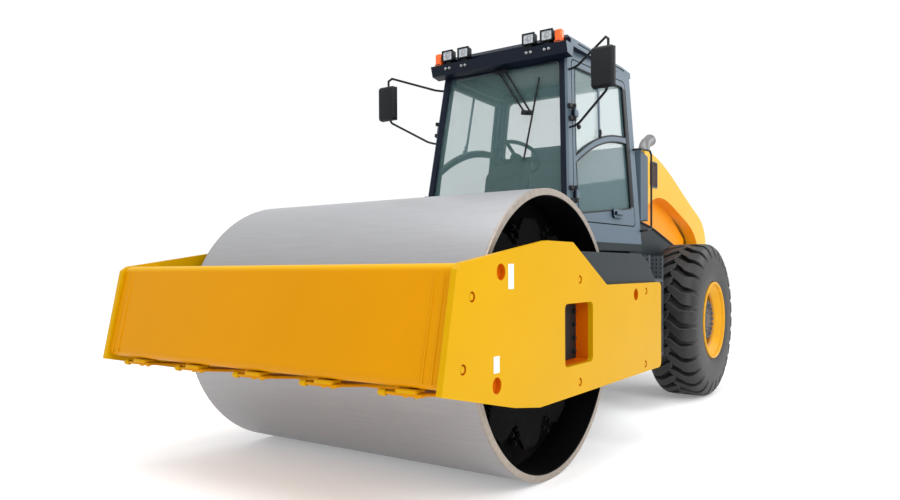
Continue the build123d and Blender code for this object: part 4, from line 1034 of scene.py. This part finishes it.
# %% Mirrors
bm = bmesh.new()
for side in (1, -1):
    middle = at(1.010, side * 0.938, 2.515)
    block(bm, middle + FORWARD * 0.002, (0.054, 0.168, 0.278), bevel=0.026, segments=4)
    block(bm, middle - FORWARD * 0.026, (0.006, 0.146, 0.256), bevel=0.0025, material=1)
    block(bm, middle - FORWARD * 0.022, (0.012, 0.162, 0.272), bevel=0.005)
    block(bm, at(1.042, side * 0.957, 2.515), (0.046, 0.036, 0.058), bevel=0.006, material=2)
looks = [BLACK, MIRROR, GREY]
make_piece(bm, "mirror_shells", "rear_frame", looks, ("mirror_heads",))

# %% Wiper
# Each bar: gap to the glass, thickness, its two ends as (side, height), and its width
WIPER_BARS = [
    (0.004, 0.010, (-0.023, 2.685), (0.222, 2.346), 0.014),
    (0.004, 0.010, (0.035, 2.685), (0.274, 2.340), 0.014),
    (-0.004, 0.018, (0.205, 2.335), (0.300, 2.320), 0.034),
    (-0.012, 0.010, (0.330, 2.591), (0.291, 2.307), 0.012),
    (-0.012, 0.010, (0.291, 2.307), (0.242, 1.971), 0.012),
    (0.002, 0.016, (-0.050, 2.681), (0.060, 2.681), 0.036),
]
WIPER_CAP = [(0.014, 0), (0.014, 0.006), (0.009, 0.010), (0, 0.010)]
bm = bmesh.new()
for low, thick, first, last, width in WIPER_BARS:
    out = low + thick / 2
    bar(bm, front_skin(*first, out), front_skin(*last, out), width, thick, FRONT_OUT)
for spot in ((-0.023, 2.683), (0.035, 2.683), (0.252, 2.327)):
    lathe(bm, front_skin(*spot, 0.016), FRONT_OUT, WIPER_CAP, 16)
make_piece(bm, "wiper_arms", "rear_frame", [BLACK], ("wiper",))

# %% [markdown]
# ## Door trim
# Rubber seals run round each door's two panes, and a bar with a latch splits the upper one.

# %% Door seals, sliding bar and latch
ARC_STEPS = 14
FRONT_RAIL = 0.12
REAR_RAIL = 0.168
KNOB = [(0.020, 0), (0.020, 0.010), (0.014, 0.018), (0, 0.020)]


def on_arc(ends, share):
    """Point on the parabola through three (distance, height) places."""
    (x0, z0), (x1, z1), (x2, z2) = ends
    back = x0 + (x2 - x0) * share
    l0 = (back - x1) * (back - x2) / ((x0 - x1) * (x0 - x2))
    l1 = (back - x0) * (back - x2) / ((x1 - x0) * (x1 - x2))
    l2 = (back - x0) * (back - x1) / ((x2 - x0) * (x2 - x1))
    return back, z0 * l0 + z1 * l1 + z2 * l2


def rail_arc(front, middle, rear):
    """Edge of the arched rail through its heights at the front, the middle and the rear."""
    first, last = front_at(front) + FRONT_RAIL, rear_at(rear) - REAR_RAIL
    ends = [(first, front), (1.65, middle), (last, rear)]
    return [on_arc(ends, k / ARC_STEPS) for k in range(ARC_STEPS + 1)]


def pane_line(out):
    """Outlines of the lower and the upper pane as points on the left skin."""
    low = rail_arc(1.935, 2.11, 2.185)
    low += [(rear_at(1.65) - REAR_RAIL, 1.65), (front_at(1.56) + 0.14, 1.56)]
    high = rail_arc(1.983, 2.158, 2.233)
    high += [(rear_at(2.66) - REAR_RAIL, 2.66), (front_at(2.66) + FRONT_RAIL, 2.66)]
    return [[skin(back, height, out) for back, height in line] for line in (low, high)]


for side, end in SIDES:
    flip = (lambda point: point) if side > 0 else other_side
    out = flip(CAB_OUT)
    bm = bmesh.new()
    for line in pane_line(-0.003):
        tube(bm, [flip(point) for point in line], 0.007, 8, closed=True)
    edge = [flip(skin(rear_at(height) - 0.142, height, 0.001)) for height in (1.66, 2.65)]
    bar(bm, *edge, 0.046, 0.004, out)
    block(bm, flip(skin(1.692, 2.205, 0.004)), (0.022, 0.016, 0.062), bevel=0.005)
    block(bm, flip(skin(1.676, 2.180, 0.008)), (0.034, 0.014, 0.020))
    lathe(bm, flip(skin(1.345, 2.205)), out, KNOB, 20)
    make_piece(bm, "door_seals_" + end, "door_" + end, [BLACK])
    bm = bmesh.new()
    first, last = flip(skin(1.681, 2.135, -0.0055)), flip(skin(1.758, 2.672, -0.0055))
    bar(bm, first, last, 0.026, 0.010, out)
    make_piece(bm, "sliding_bar_" + end, "door_" + end, [CAB_TRIM])

# %% [markdown]
# ## Steering wheel, hood trim and exhaust

# %% Steering wheel
TILT = math.radians(33)
RING_REACH = 0.19
RING_STEPS = 48
wheel_axis = Vector((-math.sin(TILT), 0, math.cos(TILT)))
wheel_centre = at(1.48, 0, 2.05)
upward = wheel_axis.cross(LEFT)
bm = bmesh.new()
rays = [swing(LEFT, upward, turn) for turn in turns(RING_STEPS)]
tube(bm, [wheel_centre + ray * RING_REACH for ray in rays], 0.015, 12, closed=True)
for turn in (20, 160, 270):
    ray = swing(LEFT, upward, math.radians(turn))
    first, last = wheel_centre + ray * 0.03, wheel_centre + ray * 0.185
    bar(bm, first, last, 0.032, 0.012, wheel_axis, 0.004)
lathe(bm, wheel_centre, wheel_axis, [
    (0, 0.016), (0.03, 0.014), (0.048, 0.006), (0.05, -0.008), (0.028, -0.016), (0.028, -0.09),
    (0, -0.09),
], 32)
make_piece(bm, "round_steering_wheel", "rear_frame", [BLACK], ("steering_wheel",))

# %% Hood vents and fender edges
TANK_LINE = [(2.46, 1.577), (2.84, 1.525), (3.471, 1.377), (4.2, 1.1)]
bm = bmesh.new()
for side in (1, -1):
    corners = [at(2.915 + dx, side * 0.6205, 2.015 + dz) for dx, dz in corners_of(0.09, 0.115)]
    tube(bm, rounded(corners, 0.022, 5, closed=True), 0.0065, 10, closed=True, material=1)
    for number in range(9):
        height = 1.922 + 0.0235 * number
        first, last = at(2.829, side * 0.6165, height), at(3.001, side * 0.6165, height)
        bar(bm, first, last, 0.004, 0.014, Vector((0, side, -0.7)), 0.001)
make_piece(bm, "vent_slats", "hood", [GRILLE, GREY])
bm = bmesh.new()
for side in (1, -1):
    crest = [(2.292, 1.552)] + TANK_LINE[:-1] + [(4.198, 1.100)]
    points = [at(back, side * 0.631, height) for back, height in crest]
    tube(bm, rounded(points, 0.12, 6), 0.011, 10)
make_piece(bm, "fender_edges", "rear_frame", [BLACK])

# %% Wheel arch panels
ARCH = [
    (2.700, 1.652), (2.84, 1.728), (2.96, 1.785), (3.094, 1.818), (3.25, 1.818), (3.45, 1.782),
    (3.694, 1.695), (3.95, 1.572), (4.15, 1.465),
]


def tank_top(back):
    """Height of the side tank's top behind the drum axle."""
    for (x0, z0), (x1, z1) in zip(TANK_LINE, TANK_LINE[1:]):
        if back <= x1:
            return z0 + (z1 - z0) * (back - x0) / (x1 - x0)
    return TANK_LINE[-1][1]


# The panels' orange is painted shade under the arch.
bm = bmesh.new()
for side in (1, -1):
    rows = []
    for back, height in ARCH:
        foot = tank_top(back) + 0.012
        section = (
            (0.512, height + 0.004), (0.512, foot + 0.03), (0.530, foot), (0.526, foot),
            (0.508, foot + 0.03), (0.508, height + 0.004),
        )
        rows.append([bm.verts.new(at(back, side * near, z)) for near, z in section])
    join_rings(bm, rows, 6)
make_piece(bm, "arch_panels", "hood", [ARCH_SHADE_ORANGE])

# %% Exhaust
bm = bmesh.new()
foot, bend = at(3.13, 0.45, 2.142), at(3.13, 0.45, 2.335)
course = rounded([foot, bend, at(3.30, 0.45, 2.402)], 0.085, 10)
tube(bm, course, 0.053, 28)
last = (course[-1] - course[-2]).normalized()
lathe(bm, course[-1], last, [
    (0.053, -0.02), (0.0585, -0.012), (0.0585, 0.002), (0.054, 0.006), (0.049, 0.002),
    (0.048, -0.06), (0, -0.06),
], 28)
# A near-black disc just inside the mouth is painted shade for the inside of the pipe.
lathe(bm, course[-1], last, [(0.0482, 0.0035), (0, 0.0035)], 28, 1)
lathe(bm, foot, UP, [(0.053, 0.030), (0.078, 0.022), (0.082, 0.012), (0.082, 0)], 28)
make_piece(bm, "exhaust_elbow", "hood", [DULL_STEEL, DRUM_BLACK], ("exhaust",))

# %% Engine top
ENGINE_TOP = 1.699
bm = bmesh.new()
for number in range(9):
    block(bm, at(3.05 + 0.075 * number, 0, 1.706), (0.030, 0.30, 0.014))
lathe(bm, at(2.95, 0.18, ENGINE_TOP), UP, [
    (0.045, 0), (0.045, 0.008), (0.036, 0.012), (0.036, 0.024), (0.03, 0.028), (0, 0.028),
], 24, 1)
for side in (1, -1):
    for number in range(6):
        bolt(bm, at(2.90 + 0.18 * number, side * 0.27, ENGINE_TOP), UP, 0.016, 0.014, 1)
    pipe = [at(2.86, side * 0.322, 1.60), at(3.84, side * 0.322, 1.60)]
    tube(bm, pipe, 0.022, 14, material=1)
    for number in range(4):
        back = 3.02 + 0.2 * number
        stub = [(0.310, 1.52), (0.345, 1.55), (0.322, 1.60)]
        points = [at(back, side * reach, height) for reach, height in stub]
        tube(bm, rounded(points, 0.012, 4), 0.012, 10)
make_piece(bm, "engine_dressing", "rear_frame", [GREY, DULL_STEEL])

# %% [markdown]
# ## The driver's seat
# The cushion and the back swell under cloth pressure from a slightly smaller shape; piping is
# laid on afterwards, because the remesh would erase it.

# %% Seat shape
LEAN = Matrix.Rotation(math.radians(-10), 3, "Y")
SEAT_BACK = at(2.107, 0, 2.000)
bm = bmesh.new()
block(bm, at(1.8275, 0, 1.708), (0.345, 0.450, 0.098), bevel=0.034, segments=5)
block(bm, SEAT_BACK, (0.092, 0.440, 0.480), LEAN, bevel=0.034, segments=5)
seat_piece = make_piece(bm, "padded_seat", "rear_frame", [FABRIC], ("seat",), 180)
remesh = seat_piece.modifiers.new("even mesh", "REMESH")
remesh.mode = "VOXEL"
remesh.voxel_size = 0.008
apply_modifiers(seat_piece)
seat_piece.data.materials.clear()
seat_piece.data.materials.append(FABRIC)

# %% Swell the seat
SWELL_FRAMES = 20
SWELL_LIMIT = 0.012
start = [v.co.copy() for v in seat_piece.data.vertices]
cloth = seat_piece.modifiers.new("swell", "CLOTH")
cloth.settings.use_pressure = True
cloth.settings.uniform_pressure_force = 4
cloth.settings.effector_weights.gravity = 0
cloth.point_cache.frame_start = 1
cloth.point_cache.frame_end = SWELL_FRAMES
for frame_number in range(1, SWELL_FRAMES + 1):
    scene.frame_set(frame_number)
swollen = seat_piece.evaluated_get(bpy.context.evaluated_depsgraph_get()).to_mesh()
places = [v.co.copy() for v in swollen.vertices]
seat_piece.modifiers.clear()
scene.frame_set(1)
for vertex, before, after in zip(seat_piece.data.vertices, start, places):
    move = after - before
    if move.length > SWELL_LIMIT:
        move = move.normalized() * SWELL_LIMIT
    vertex.co = before + move
print("moved at most", round(max((a - b).length for a, b in zip(start, places)), 4))
seat_piece.data.shade_smooth()

# %% Piping
bm = bmesh.new()
cushion = [at(1.8275 + dx, dy, 1.752) for dx, dy in corners_of(0.165, 0.215)]
rest = [SEAT_BACK + LEAN @ Vector((0.040, dy, dz)) for dy, dz in corners_of(0.21, 0.23)]
row = [-0.19 + 0.02 * k for k in range(20)]
channels = [[at(1.8275 + dx, y, 1.77) for y in row] for dx in (-0.06, 0.06)]
channels += [[SEAT_BACK + LEAN @ Vector((0.06, y, dz)) for y in row] for dz in (-0.08, 0.08)]
for line, closed in [(cushion, True), (rest, True)] + [(line, False) for line in channels]:
    course = rounded(line, 0.05, 6, closed=True) if closed else line
    long_course = []
    for first, last in zip(course, course[1:] + course[:1] if closed else course[1:]):
        long_course += [first.lerp(last, k / 4) for k in range(4)]
    snapped = [seat_piece.closest_point_on_mesh(point)[1] for point in long_course]
    tube(bm, snapped, 0.0045 if closed else 0.003, 8, closed=closed)
make_piece(bm, "seat_piping", "rear_frame", [BLACK])
